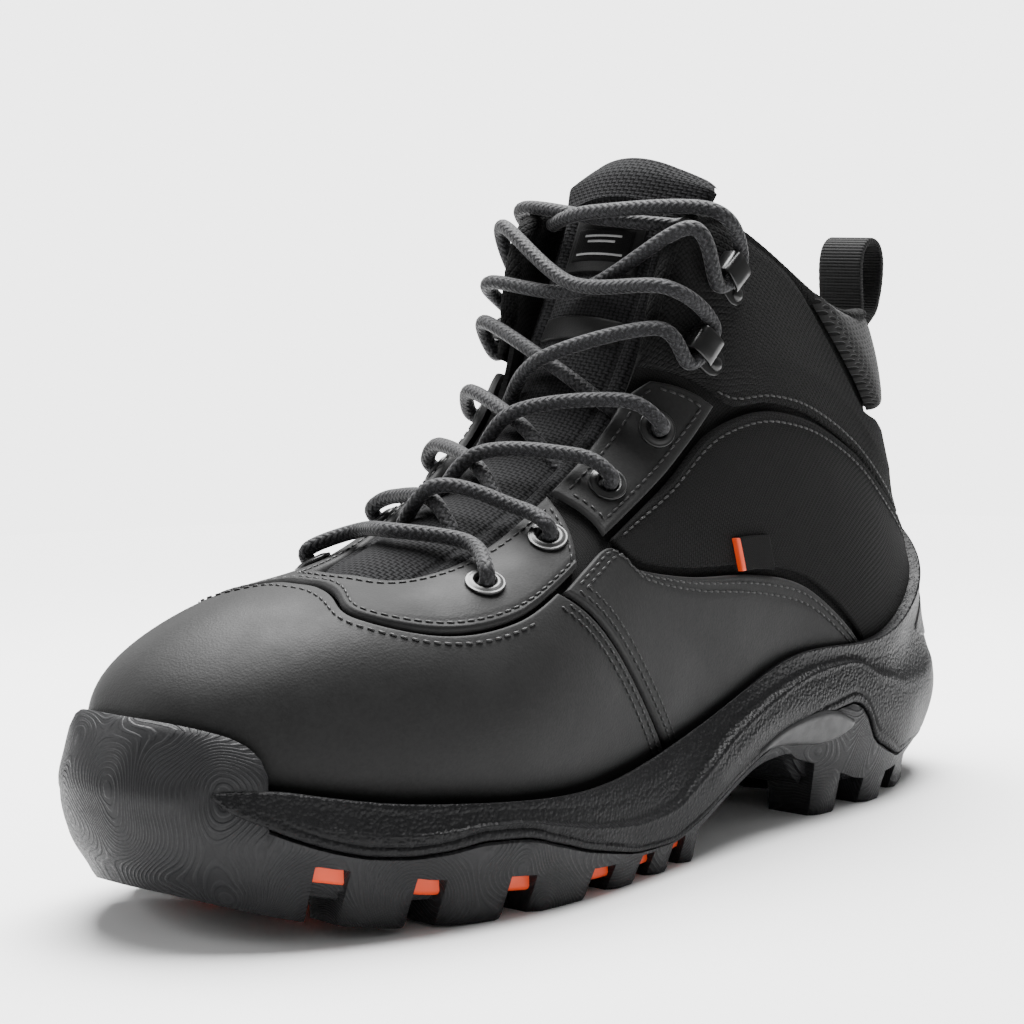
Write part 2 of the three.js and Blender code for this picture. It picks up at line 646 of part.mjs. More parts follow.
function sideCut(outline, grow) {
  const loop = outline.map(([y, z]) => new THREE.Vector2(y, z));
  const grown = loop.map((p, i) => {
    const before = loop[(i + loop.length - 1) % loop.length];
    const after = loop[(i + 1) % loop.length];
    const way = after.clone().sub(before).normalize();
    return new THREE.Vector2(p.x + way.y * grow, p.y - way.x * grow);
  });
  const cut = new THREE.ExtrudeGeometry(new THREE.Shape(grown), {
    depth: 160,
    bevelEnabled: false,
  });
  cut.translate(0, 0, -80);
  const turn = new THREE.Matrix4().makeBasis(
    new THREE.Vector3(0, 1, 0),
    new THREE.Vector3(0, 0, 1),
    new THREE.Vector3(1, 0, 0),
  );
  return solid(cut.applyMatrix4(turn));
}
const midsoleOutline = [...MIDSOLE_LINE, ...MIDSOLE_TOP];
add("midsole", geometryOf(largest(cup.intersect(sideCut(midsoleOutline, 0)))), foam);

// Lugs, each from one y to another: blocks round the edge and two rows down the middle, feet following the ground.
function lug(outline, foot, head) {
  const ring = (height) => outline.map(([x, y]) => new THREE.Vector3(x, y, height(y)));
  return stack([ring(foot), ring(head)]);
}
const foot = (y) => heightAt(GROUND_LINE, y);
const head = (y) => heightAt(BED_LINE, y) + 1.5;
function edgeX(y, inner) {
  let [low, high] = [0, HEEL];
  for (let i = 0; i < 30; i++) {
    const mid = (low + high) / 2;
    if (wallPoint(mid, 0).y < y) low = mid;
    else high = mid;
  }
  return wallPoint(side(low, inner), 0).x;
}
const FORE_LUGS = [
  [-128, -121], [-114, -99], [-91.5, -73.5], [-65.5, -44.5], [-35.5, -23], [-17, -7], [-1, 6.5],
];
const HEEL_LUGS = [[68, 80], [91, 103], [113, 129]];
function lugOutlines() {
  const found = [];
  for (const inner of [false, true]) {
    const s = inner ? -1 : 1;
    for (const [from, to] of [...FORE_LUGS, ...HEEL_LUGS]) {
      const out = [edgeX(from, inner) + 0.6 * s, edgeX(to, inner) + 0.6 * s];
      const middle = lean((from + to) / 2);
      const inside = middle + s * Math.max(14, Math.abs(out[0] - middle) - 17);
      found.push([[inside, from + 1.5], [out[0], from], [out[1], to], [inside, to - 1]]);
    }
  }
  for (const [from, to] of [...FORE_LUGS, ...HEEL_LUGS].slice(1)) {
    const y = (from + to) / 2 + 4;
    const x = lean(y);
    found.push([[x - 8, y - 11], [x, y - 14], [x + 8, y - 11], [x + 6, y - 4], [x - 6, y - 4]]);
  }
  return found.map((o) => {
    const area = THREE.ShapeUtils.area(o.map(([x, y]) => new THREE.Vector2(x, y)));
    return area > 0 ? o : o.reverse();
  });
}
const lugs = lugOutlines().filter((o) => !o.some(([, y]) => y > 8 && y < 66));
let outsole = cup.subtract(sideCut(midsoleOutline, GAP));
for (const outline of lugs) outsole = outsole.add(solid(lug(outline, foot, head)));
outsole = largest(outsole.subtract(sideCut(midsoleOutline, GAP)).subtract(lastBody));
add("outsole", geometryOf(outsole), rubber);

// Tread insert: the bright sheet on the forefoot bed, with room left round every lug.
const insertRing = (drop) => {
  const rows = Array.from({ length: 12 }, (_, i) => lerp(-112, 0, i / 11));
  const ring = [[lean(-112), -112.5]];
  for (const y of rows) ring.push([edgeX(y, false) - 4, y]);
  ring.push([0, 0.5]);
  for (const y of rows.reverse()) ring.push([edgeX(y, true) + 4, y]);
  return ring.map(([x, y]) => new THREE.Vector3(x, y, heightAt(BED_LINE, y) - drop));
};
const insertSheet = solid(stack([insertRing(2.6), insertRing(-0.5)]));
let insert = insertSheet.subtract(solid(stack([insertRing(-3), insertRing(-4)])));
for (const outline of lugs) {
  const wide = outline.map(([x, y]) => [x, y]);
  const mid = wide.reduce((m, p) => [m[0] + p[0] / wide.length, m[1] + p[1] / wide.length], [0, 0]);
  const grown = wide.map(([x, y]) => {
    const r = Math.hypot(x - mid[0], y - mid[1]);
    return [mid[0] + (x - mid[0]) * (1 + 0.8 / r), mid[1] + (y - mid[1]) * (1 + 0.8 / r)];
  });
  insert = insert.subtract(solid(lug(grown, (y) => foot(y) - 5, (y) => head(y) + 5)));
}
insert = largest(insert.subtract(outsole.translate([0, 0, -GAP])).subtract(outsole));
add("tread_insert", geometryOf(insert), orange);

// Raised pieces on the sole wall: a smooth pod in each arch and a ribbed patch at the heel.
const POD_LOW = [[5.55, 0.3], [5.95, 0.2], [6.35, 0.22], [6.62, 0.4]];
const POD_HIGH = [[5.58, 0.34], [5.95, 0.42], [6.35, 0.5], [6.66, 0.45]];
const POD_LAYER = [2 * GAP, 1.9];
add("arch_pod_outer", panel(POD_LOW, POD_HIGH, 8, 3, POD_LAYER, onWall), rubber);
const podInner = panel(mirrored(POD_LOW), mirrored(POD_HIGH), 8, 3, POD_LAYER, onWall);
add("arch_pod_inner", podInner, rubber);

// Anchor of the pull loop: webbing stitched down the back of the collar.
const anchorLayer = [COLLAR[1] + GAP, COLLAR[1] + GAP + 1.4];
const anchorLow = row(9.66, 10.34, 0.73);
add("loop_anchor", panel(anchorLow, row(9.66, 10.34, 0.985), 4, 4, anchorLayer), textile);

// Side tag: a small folded label on the woven panel.
const TAG_LAYER = [GAP - 0.4, 0.9];
const tagLow = [[5.55, 0.45], [5.75, 0.437], [5.95, 0.42]];
const tagHigh = [[5.55, 0.515], [5.75, 0.5], [5.95, 0.485]];
add("side_tag", panel(tagLow, tagHigh, 3, 2, TAG_LAYER), orange);

// Tongue: padded body under the lace, with a soft flap above the top crossing.
const PARTING = (TONGUE.length - 1) / (TONGUE.length + FLAP.length - 1);
function tongueBody(from, to, steps, thick) {
  return shell(steps, 8, (i, j, s) => {
    const t = lerp(from, to, i / steps);
    const across = lerp(1, -1, j / 8);
    const rounding = 1 - 0.45 * across ** 4;
    return onTongue(t, across, s ? 0 : -thick * rounding);
  });
}
const rimRoom = solid(
  shell(40, 6, (i, j, s) => {
    return onUpper((i / 40) * MIRROR, lerp(0.4, 1.01, j / 6), s ? 4 : LINING[0] - 2 * GAP);
  }, true),
);
const eyeletRoom = EYELETS.flatMap(([u, v]) => [false, true].map((inner) => {
  const room = new THREE.CylinderGeometry(5.6, 5.6, 16, 6);
  room.rotateX(Math.PI / 2);
  const tool = new THREE.Mesh(room);
  stand(tool, seat(side(u, inner), v));
  tool.updateMatrix();
  return solid(room.applyMatrix4(tool.matrix));
}));
let tongue = solid(tongueBody(0, PARTING, 14, TONGUE_THICK)).subtract(rimRoom);
tongue = [laceRoom, ...eyeletRoom].reduce((body, room) => body.subtract(room), tongue);
add("tongue", geometryOf(largest(tongue)), textile);
const flapBody = solid(tongueBody(PARTING + 0.02, 1, 5, TONGUE_THICK + 2));
add("tongue_flap", geometryOf(largest(flapBody.subtract(laceRoom))), textile);

// Pull loop: folded webbing that stands on the back of the collar.
const LOOP_PATH = [
  [139, 146], [138.6, 152], [138.8, 158], [140.5, 162.5], [144, 164.6], [147.8, 163],
  [149.6, 158.5], [149.2, 152], [147.6, 146],
];
function ribbon(path, width, thick) {
  return shell(path.length - 1, 1, (i, j, s) => {
    const [a, b] = [path[Math.max(i - 1, 0)], path[Math.min(i + 1, path.length - 1)]];
    const way = new THREE.Vector2(b[0] - a[0], b[1] - a[1]).normalize();
    const lift = (s - 0.5) * thick;
    const [y, z] = [path[i][0] - way.y * lift, path[i][1] + way.x * lift];
    return new THREE.Vector3(lerp(width / 2, -width / 2, j), y, z);
  });
}
add("pull_loop", ribbon(LOOP_PATH, LOOP_WIDTH, LOOP_THICK), textile);

boot.position.set(...CENTRE);
export default boot;
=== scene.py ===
"""Looks of a left hiking boot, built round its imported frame.

Tables and distances are in millimetres in the boot's own layout: toe towards -Y, outer side +X.
Pieces are written to Blender in metres, shifted by CENTRE into the frame.
"""

import math

import bpy
import numpy as np
from mathutils import Matrix, Vector


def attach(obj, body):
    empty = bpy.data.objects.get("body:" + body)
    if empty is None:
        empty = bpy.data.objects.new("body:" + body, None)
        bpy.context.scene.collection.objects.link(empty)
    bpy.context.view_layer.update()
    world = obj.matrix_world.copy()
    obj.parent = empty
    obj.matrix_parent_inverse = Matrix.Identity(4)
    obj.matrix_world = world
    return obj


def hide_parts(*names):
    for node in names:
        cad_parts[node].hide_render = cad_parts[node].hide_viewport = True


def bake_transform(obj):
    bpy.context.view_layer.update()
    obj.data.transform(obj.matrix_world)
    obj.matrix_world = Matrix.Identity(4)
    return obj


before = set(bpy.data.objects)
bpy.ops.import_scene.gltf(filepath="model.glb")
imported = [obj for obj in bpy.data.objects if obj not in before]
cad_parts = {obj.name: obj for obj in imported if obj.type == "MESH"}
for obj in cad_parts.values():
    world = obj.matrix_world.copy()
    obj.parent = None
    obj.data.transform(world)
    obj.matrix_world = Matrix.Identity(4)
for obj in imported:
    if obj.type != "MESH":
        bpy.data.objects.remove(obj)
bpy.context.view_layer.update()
bpy.ops.object.select_all(action="DESELECT")

# ---- Camera, light and floor ----------------------------------------------------------
AIM = Vector((-0.01298, -0.001, 0.0927))
AZIMUTH, ELEVATION, ROLL = math.radians(42.5), math.radians(7.0), math.radians(-1.0)
DISTANCE, LENS = 0.85, 105.33
BACKDROP = 4.0


def place_camera():
    back = Vector((
        math.sin(AZIMUTH) * math.cos(ELEVATION),
        -math.cos(AZIMUTH) * math.cos(ELEVATION),
        math.sin(ELEVATION),
    ))
    right = Vector((math.cos(AZIMUTH), math.sin(AZIMUTH), 0))
    up = right.cross(-back)
    turned = right * math.cos(ROLL) + up * math.sin(ROLL)
    upright = up * math.cos(ROLL) - right * math.sin(ROLL)
    camera = bpy.data.objects.new("camera", bpy.data.cameras.new("camera"))
    camera.data.lens = LENS
    camera.data.sensor_width = 36
    axes = Matrix((turned, upright, back)).transposed()
    camera.matrix_world = Matrix.Translation(AIM + back * DISTANCE) @ axes.to_4x4()
    bpy.context.scene.collection.objects.link(camera)
    bpy.context.scene.camera = camera


def softbox(name, place, aim, size, watts):
    light = bpy.data.lights.new(name, "AREA")
    light.shape = "SQUARE"
    light.size = size
    light.energy = watts
    lamp = bpy.data.objects.new(name, light)
    lamp.location = place
    lamp.rotation_euler = (Vector(aim) - Vector(place)).to_track_quat("-Z", "Y").to_euler()
    bpy.context.scene.collection.objects.link(lamp)


def light_the_studio():
    world = bpy.data.worlds.new("studio")
    world.use_nodes = True
    nodes, links = world.node_tree.nodes, world.node_tree.links
    sky = nodes["Background"]
    sky.inputs["Color"].default_value = (1, 1, 1, 1)
    seen = nodes.new("ShaderNodeMapRange")
    seen.inputs["To Min"].default_value = 0.3
    seen.inputs["To Max"].default_value = BACKDROP
    links.new(nodes.new("ShaderNodeLightPath").outputs["Is Camera Ray"], seen.inputs["Value"])
    links.new(seen.outputs["Result"], sky.inputs["Strength"])
    bpy.context.scene.world = world
    softbox("overhead", (-0.2, 0.2, 1.0), (0, 0, 0.05), 0.9, 72)
    softbox("left_side", (-0.85, -0.75, 0.55), (0, -0.03, 0.08), 0.5, 5)
    softbox("behind_right", (0.55, 0.8, 0.6), (0, 0, 0.1), 0.4, 0.5)


def lay_the_floor():
    bpy.ops.mesh.primitive_circle_add(vertices=96, radius=0.75, fill_type="NGON")
    floor = bpy.context.object
    floor.name = "studio_floor"
    pale = bpy.data.materials.new("pale_floor")
    pale.use_nodes = True
    shade = pale.node_tree.nodes["Principled BSDF"]
    shade.inputs["Base Color"].default_value = (0.86, 0.86, 0.86, 1)
    shade.inputs["Roughness"].default_value = 0.9
    shade.inputs["Emission Color"].default_value = (1, 1, 1, 1)
    nodes, links = pale.node_tree.nodes, pale.node_tree.links
    away = nodes.new("ShaderNodeVectorMath")
    away.operation = "LENGTH"
    links.new(nodes.new("ShaderNodeTexCoord").outputs["Object"], away.inputs[0])
    glow, tint = (nodes.new("ShaderNodeMapRange") for _ in range(2))
    for ramp, ends in ((glow, (0.0, BACKDROP)), (tint, (0.86, 0.0))):
        ramp.interpolation_type = "SMOOTHSTEP"
        links.new(away.outputs["Value"], ramp.inputs["Value"])
        for socket, number in zip(("From Min", "From Max", "To Min", "To Max"), (0.27, 0.7, *ends)):
            ramp.inputs[socket].default_value = number
    links.new(glow.outputs["Result"], shade.inputs["Emission Strength"])
    links.new(tint.outputs["Result"], shade.inputs["Base Color"])
    floor.data.materials.append(pale)


place_camera()
light_the_studio()
lay_the_floor()

# ---- Shape of the boot: tables in millimetres, before the shift to the frame's origin ----
CENTRE = np.array([0.82, -1.0, 0.0])
ROUND = 20  # stations once round the boot: 0 toe, 10 heel
UPPER_NET = np.array([
    [(0, -136, 33), (0, -144, 44), (0, -142, 63), (0, -113, 80), (0, -80, 86)],
    [(25, -126, 31), (27, -135, 43), (25, -132, 63), (17, -108, 79), (9, -79, 86)],
    [(38, -104, 28), (43, -109, 43), (40, -104, 64), (29, -93, 79), (16, -72, 85)],
    [(45, -66, 25), (51, -66, 43), (49, -64, 64), (37, -59, 81), (20, -51, 90)],
    [(43, -25, 25), (49, -24, 45), (47, -23, 72), (38, -22, 93), (22, -26, 103)],
    [(38, 15, 27), (44, 16, 48), (43, 13, 78), (37, 6, 106), (24, -3, 120)],
    [(36, 55, 29), (42, 54, 52), (41, 48, 88), (37, 34, 125), (28, 12, 147)],
    [(36, 92, 30), (42, 90, 54), (39, 84, 90), (36, 64, 130), (31, 32, 177)],
    [(32, 118, 31), (37, 118, 55), (33, 113, 90), (30, 103, 120), (29, 87, 151)],
    [(20, 138, 31.5), (24, 143, 56), (20, 136, 89), (20, 127, 118.5), (20, 119, 144)],
    [(0, 144, 32), (0, 150, 56), (0, 143, 88), (0, 134, 118), (0, 134, 142)],
], float)
WALL_NET = np.array([
    [(0, -145, 18), (0, -152, 24), (0, -155, 36), (0, -152, 48)],
    [(24, -136, 14), (26, -142, 21), (28, -144, 33), (28, -141, 44)],
    [(42, -110, 8), (45, -112, 14), (48, -113, 24), (47, -111, 33)],
    [(51, -67, 5), (53, -67, 11), (55, -67, 19), (54, -67, 27)],
    [(51, -25, 5), (53, -25, 9), (54, -25, 16), (53, -25, 24)],
    [(46, 15, 11), (48, 15, 16), (50, 15, 24), (48, 15, 33)],
    [(41, 52, 20), (44, 52, 26), (47, 53, 34), (46, 54, 43)],
    [(42, 92, 7), (44, 93, 15), (46, 94, 27), (45, 94, 40)],
    [(35, 118, 7), (38, 120, 15), (40, 122, 28), (38, 120, 43)],
    [(21, 141, 7), (24, 146, 15), (26, 149, 29), (24, 146, 50)],
    [(0, 149, 8), (0, 154, 16), (0, 157, 30), (0, 154, 56)],
], float)
RIM = [0.42, 0.38, 0.22, 0.12, 0.1, 0.15, 0.23, 0.21, 0.25, 0.36, 0.46]
RUBBER_EDGE = 2.2


def toe_lean(y):
    t = np.clip((-55 - np.asarray(y, float)) / 100, 0, 1)
    return -13 * t * t * (3 - 2 * t)


def both_sides(half):
    """Whole ring of stations from the outer half: the inner side mirrored, the toe leaned."""
    inner = half[1:-1][::-1].copy()
    inner[..., 0] *= -1
    ring = np.concatenate([half, inner])
    ring[..., 0] += toe_lean(ring[..., 1])
    return ring


def fit_ring(points):
    c = points.copy()
    for _ in range(40):
        c = c + points - (np.roll(c, 1, 0) + 4 * c + np.roll(c, -1, 0)) / 6
    return c


def fit_rows(points):
    c = points.copy()
    for _ in range(40):
        e = np.concatenate([2 * c[:, :1] - c[:, 1:2], c, 2 * c[:, -1:] - c[:, -2:-1]], 1)
        c = c + points - (e[:, :-2] + 4 * e[:, 1:-1] + e[:, 2:]) / 6
    return np.concatenate([2 * c[:, :1] - c[:, 1:2], c, 2 * c[:, -1:] - c[:, -2:-1]], 1)


def spread(w):
    return np.stack([(1 - w) ** 3, 3 * w**3 - 6 * w**2 + 4, -3 * w**3 + 3 * w**2 + 3 * w + 1, w**3], -1) / 6


def net_point(net, u, v):
    u, v = np.broadcast_arrays(np.asarray(u, float), np.asarray(v, float))
    rows = net.shape[1] - 3
    i = np.floor(u).astype(int)
    j = np.clip(np.floor(v * rows).astype(int), 0, rows - 1)
    wu, wv = spread(u - i), spread(v * rows - j)
    out = np.zeros(u.shape + (3,))
    for a in range(4):
        for b in range(4):
            out += (wu[..., a] * wv[..., b])[..., None] * net[(i - 1 + a) % len(net), j + b]
    return out


def ring_point(ring, u):
    i = np.floor(u).astype(int)
    w = spread(u - i)
    return sum(w[..., a, None] * ring[(i - 1 + a) % len(ring)] for a in range(4))


def unit(p):
    return p / np.maximum(np.linalg.norm(p, axis=-1, keepdims=True), 1e-12)


def normal_of(point, u, v, e=1e-3):
    du = point(u + e, v) - point(u - e, v)
    dv = point(u, v + e) - point(u, v - e)
    return unit(np.cross(du, dv))


def along(knots, t):
    """Catmull-Rom spline through the knots, at t from 0 to 1."""
    k = np.asarray(knots, float)
    last = len(k) - 1
    t = np.asarray(t, float)
    i = np.clip(np.floor(t * last).astype(int), 0, last - 1)
    f = (t * last - i)[..., None]
    a, b, c, d = (k[np.clip(i + n, 0, last)] for n in (-1, 0, 1, 2))
    m0, m1 = (c - a) / 2, (d - b) / 2
    return b + f * (m0 + f * (3 * (c - b) - 2 * m0 - m1 + f * (2 * (b - c) + m0 + m1)))


upper_net = fit_rows(fit_ring(both_sides(UPPER_NET)))
wall_net = fit_ring(both_sides(WALL_NET))
rim_net = fit_ring(np.array(RIM + RIM[1:-1][::-1])[:, None])


def upper(u, v):
    return net_point(upper_net, u, v)


def on_upper(u, v, lift):
    u, v = np.broadcast_arrays(np.asarray(u, float), np.asarray(v, float))
    return upper(u, v) + normal_of(upper, u, v) * np.asarray(lift, float)[..., None]


def wall(u, w):
    """Side of the sole unit: w runs from the tread edge, 0, to the rim laid on the upper, 1."""
    u, w = np.broadcast_arrays(np.asarray(u, float), np.asarray(w, float))
    rim = on_upper(u, ring_point(rim_net, u)[..., 0], RUBBER_EDGE)
    rows = ring_point(wall_net.reshape(len(wall_net), -1), u).reshape(u.shape + (4, 3))
    knots = np.concatenate([rows, rim[..., None, :]], -2)
    i = np.clip(np.floor(w * 4).astype(int), 0, 3)
    f = (w * 4 - i)[..., None]
    pick = [
        np.take_along_axis(knots, np.clip(i + n, 0, 4)[..., None, None], -2)[..., 0, :]
        for n in (-1, 0, 1, 2)
    ]
    a, b, c, d = pick
    m0, m1 = (c - a) / 2, (d - b) / 2
    return b + f * (m0 + f * (3 * (c - b) - 2 * m0 - m1 + f * (2 * (b - c) + m0 + m1)))


def on_wall(u, w, lift):
    u, w = np.broadcast_arrays(np.asarray(u, float), np.asarray(w, float))
    return wall(u, w) + normal_of(wall, u, w) * np.asarray(lift, float)[..., None]

# ---- Building meshes --------------------------------------------------------------------
def write_mesh(name, points, corners, sizes, uv, material, marks=None, sharp=40):
    """One mesh piece from points in mm, flat lists of face corners and a UV for each corner."""
    mesh = bpy.data.meshes.new(name)
    mesh.vertices.add(len(points))
    mesh.vertices.foreach_set("co", ((points + CENTRE) / 1000).astype(np.float32).ravel())
    mesh.loops.add(len(corners))
    mesh.loops.foreach_set("vertex_index", corners.astype(np.int32))
    mesh.polygons.add(len(sizes))
    starts = np.concatenate([[0], np.cumsum(sizes)[:-1]])
    mesh.polygons.foreach_set("loop_start", starts.astype(np.int32))
    mesh.polygons.foreach_set("loop_total", np.asarray(sizes, np.int32))
    mesh.polygons.foreach_set("use_smooth", np.ones(len(sizes), bool))
    layer = mesh.uv_layers.new(name="surface")
    layer.data.foreach_set("uv", uv.astype(np.float32).ravel())
    for mark, values in (marks or {}).items():
        made = mesh.attributes.new(mark, "FLOAT", "POINT")
        made.data.foreach_set("value", values.astype(np.float32).ravel())
    mesh.update(calc_edges=True)
    mesh.validate()
    mesh.set_sharp_from_angle(angle=math.radians(sharp))
    mesh.materials.append(material)
    piece = bpy.data.objects.new(name, mesh)
    bpy.context.scene.collection.objects.link(piece)
    return piece


def edit_mesh(piece, *steps):
    """Run operators in edit mode, each on the whole mesh of one piece."""
    bpy.ops.object.select_all(action="DESELECT")
    bpy.context.view_layer.objects.active = piece
    piece.select_set(True)
    bpy.ops.object.mode_set(mode="EDIT")
    for step in steps:
        bpy.ops.mesh.select_all(action="SELECT")
        step()
    bpy.ops.object.mode_set(mode="OBJECT")
    piece.select_set(False)


def turn_out():
    """Turn every selected face of a closed piece outwards."""
    bpy.ops.mesh.normals_make_consistent(inside=False)


def merge_close(piece, reach=1e-6):
    edit_mesh(piece, lambda: bpy.ops.mesh.remove_doubles(threshold=reach))


def face_out(piece):
    edit_mesh(piece, turn_out)


def shell_parts(outer, inner, uv, ring=False, open_end=False):
    """Closed body between an outer and an inner grid of points. A ring joins its last column
    to its first, and its uv has one column more than it has points. An open end is left for the
    two halves of a ring to be merged along their middle line."""
    cols, rows = outer.shape[:2]
    points = np.concatenate([outer.reshape(-1, 3), inner.reshape(-1, 3)])
    steps = cols if ring else cols - 1
    i, j = np.meshgrid(np.arange(steps), np.arange(rows - 1), indexing="ij")
    faces, places = [], []

    def quads(*spots):
        ids = [s * cols * rows + (a % cols) * rows + b for a, b, s in spots]
        faces.append(np.stack([x.ravel() for x in ids], -1))
        places.append(np.stack([uv[a, b].reshape(-1, 2) for a, b, _ in spots], 1))

    quads((i, j, 0), (i + 1, j, 0), (i + 1, j + 1, 0), (i, j + 1, 0))
    quads((i, j, 1), (i, j + 1, 1), (i + 1, j + 1, 1), (i + 1, j, 1))
    k = np.arange(steps)
    low, top = np.zeros_like(k), np.full_like(k, rows - 1)
    quads((k, low, 1), (k + 1, low, 1), (k + 1, low, 0), (k, low, 0))
    if not open_end:
        quads((k, top, 0), (k + 1, top, 0), (k + 1, top, 1), (k, top, 1))
    if not ring:
        r = np.arange(rows - 1)
        first, last = np.zeros_like(r), np.full_like(r, cols - 1)
        quads((first, r, 1), (first, r, 0), (first, r + 1, 0), (first, r + 1, 1))
        quads((last, r, 0), (last, r, 1), (last, r + 1, 1), (last, r + 1, 0))
    faces, places = np.concatenate(faces), np.concatenate(places)
    return points, faces.ravel(), np.full(len(faces), 4), places.reshape(-1, 2)


def arc(points):
    return np.concatenate([[0], np.cumsum(np.linalg.norm(np.diff(points, axis=0), axis=1))])


EDGE_STEPS = np.array([0, 0.12, 0.35, 0.7, 1.1, 1.7])  # distances from an edge that carry its rounding
NARROW = 8  # a strip narrower than this has them drawn in


def close_steps(length, size):
    """Distances along a strip: close together at both ends, then even."""
    near = EDGE_STEPS * min(1, length / NARROW)
    if length < 4:
        return np.concatenate([near, length - near[::-1]])
    count = max(2, int(round((length - 2 * near[-1]) / size)))
    return np.concatenate(
        [near[:-1], np.linspace(near[-1], length - near[-1], count + 1), length - near[:-1][::-1]]
    )


class Panel:
    """Panel between a low and a high edge, each a line of (station, height) on a surface."""

    def __init__(self, low, high, layer, size=1.5, surface=on_upper):
        self.surface, self.layer = surface, layer
        t = np.linspace(0, 1, 500)
        a, b = along(low, t), along(high, t)
        middle = arc(surface(*((a + b) / 2).T, layer[1]))
        self.arcs = close_steps(middle[-1], size)
        at = np.interp(self.arcs, middle, t)
        self.a, self.b = along(low, at), along(high, at)
        f = np.linspace(0, 1, 9)[None, :, None]
        across = surface(*np.moveaxis(self.a[:, None] * (1 - f) + self.b[:, None] * f, -1, 0), layer[1])
        self.width = np.maximum(np.linalg.norm(np.diff(across, axis=1), axis=2).sum(1), 0.4)
        widest = close_steps(self.width.max(), size)
        n = len(widest)
        scale = np.minimum(1, self.width / NARROW)[:, None]
        if n > 12:
            inner = np.linspace(0, 1, n - 10)[1:-1][None]
            edge = EDGE_STEPS[None] * scale
            w = self.width[:, None]
            self.rows = np.concatenate(
                [edge, edge[:, -1:] + (w - 2 * edge[:, -1:]) * inner, w - edge[:, ::-1]], 1
            )
        else:
            self.rows = widest[None] / widest[-1] * self.width[:, None]
        t = (self.rows / self.width[:, None])[..., None]
        self.uv = self.a[:, None] * (1 - t) + self.b[:, None] * t
        self.from_low = self.rows
        self.from_high = self.width[:, None] - self.rows
        self.from_start = np.broadcast_to(self.arcs[:, None], self.rows.shape)
        self.from_end = self.arcs[-1] - self.from_start
        self.rim = np.minimum.reduce([self.from_low, self.from_high, self.from_start, self.from_end])

    def rounded(self, edge=1.0, drop=1.0):
        """Lift of the outer face with its rim turned down over the given distance."""
        near = np.clip(self.rim / edge, 0, 1)
        return self.layer[1] - drop * (1 - np.sqrt(1 - (1 - near) ** 2))

    def build(self, name, material, lift=None, sharp=40, depth=None):
        lift = self.rounded() if lift is None else lift
        low = min(self.layer[0], lift.min() - 0.3) if depth is None else depth
        u, v = np.moveaxis(self.uv, -1, 0)
        outer = self.surface(u, v, lift)
        inner = self.surface(u, v, np.broadcast_to(low, u.shape))
        span = np.stack([self.from_start, self.rows - self.width[:, None] / 2], -1) / 1000
        points, corners, sizes, uv = shell_parts(outer, inner, span)
        rim = np.concatenate([self.rim.ravel(), np.zeros(self.rim.size)])
        return write_mesh(name, points, corners, sizes, uv, material, {"rim": rim}, sharp)

    def seam(self, edge, inset, start=3.0, end=3.0):
        """Points (station, height) of a line at a distance from one edge of the panel."""
        if edge in ("low", "high"):
            far = inset if edge == "low" else self.width - inset
            t = np.clip(far / self.width, 0, 1)[:, None]
            line = self.a * (1 - t) + self.b * t
            keep = (self.arcs >= start) & (self.arcs <= self.arcs[-1] - end) & (self.width > inset + 1)
            return line[keep]
        where = inset if edge == "start" else self.arcs[-1] - inset
        a = np.array([np.interp(where, self.arcs, self.a[:, k]) for k in (0, 1)])
        b = np.array([np.interp(where, self.arcs, self.b[:, k]) for k in (0, 1)])
        width = np.interp(where, self.arcs, self.width)
        t = np.linspace(start / width, 1 - end / width, 40)[:, None]
        return a * (1 - t) + b * t


STITCH = {"pitch": 2.9, "length": 2.25, "radius": 0.3}


def stitches(lines, surface=on_upper):
    """Short thread loops along lines; each line is (points in (station, height), lift)."""
    points, corners, sizes = [], [], []
    sides = 5
    turn = np.arange(sides) / sides * 2 * np.pi
    count = 0
    for line, lift in lines:
        if len(line) < 2:
            continue
        path = surface(line[:, 0], line[:, 1], np.full(len(line), lift))
        out = normal_of(upper if surface is on_upper else wall, line[:, 0], line[:, 1])
        length = arc(path)
        for s in np.arange(0.4, length[-1] - STITCH["length"], STITCH["pitch"]):
            along_it = s + np.array([0, 0.16, 0.84, 1]) * STITCH["length"]
            centre = np.stack([np.interp(along_it, length, path[:, k]) for k in range(3)], -1)
            up = unit(np.array([np.interp(s, length, out[:, k]) for k in range(3)]))
            way = unit(centre[-1] - centre[0])
            side = np.cross(way, up)
            centre = centre + up * np.array([-0.3, 0.16, 0.16, -0.3])[:, None]
            centre = centre + side * np.array([-0.12, -0.08, 0.08, 0.12])[:, None]
            radius = STITCH["radius"] * np.array([0.5, 1, 1, 0.5])
            ring = np.cos(turn)[:, None] * side + np.sin(turn)[:, None] * up
            points.append((centre[:, None] + ring[None] * radius[:, None, None]).reshape(-1, 3))
            for r in range(3):
                for k in range(sides):
                    n = (k + 1) % sides
                    corners += [count + r * sides + k, count + (r + 1) * sides + k,
                                count + (r + 1) * sides + n, count + r * sides + n]
                    sizes.append(4)
            corners += [count + k for k in range(sides)]
            corners += [count + 3 * sides + k for k in reversed(range(sides))]
            sizes += [sides, sides]
            count += 4 * sides
    return np.concatenate(points), np.array(corners), np.array(sizes)


def sew(name, lines, material, surface=on_upper):
    points, corners, sizes = stitches(lines, surface)
    return write_mesh(name, points, corners, sizes, np.zeros((len(corners), 2)), material, sharp=80)


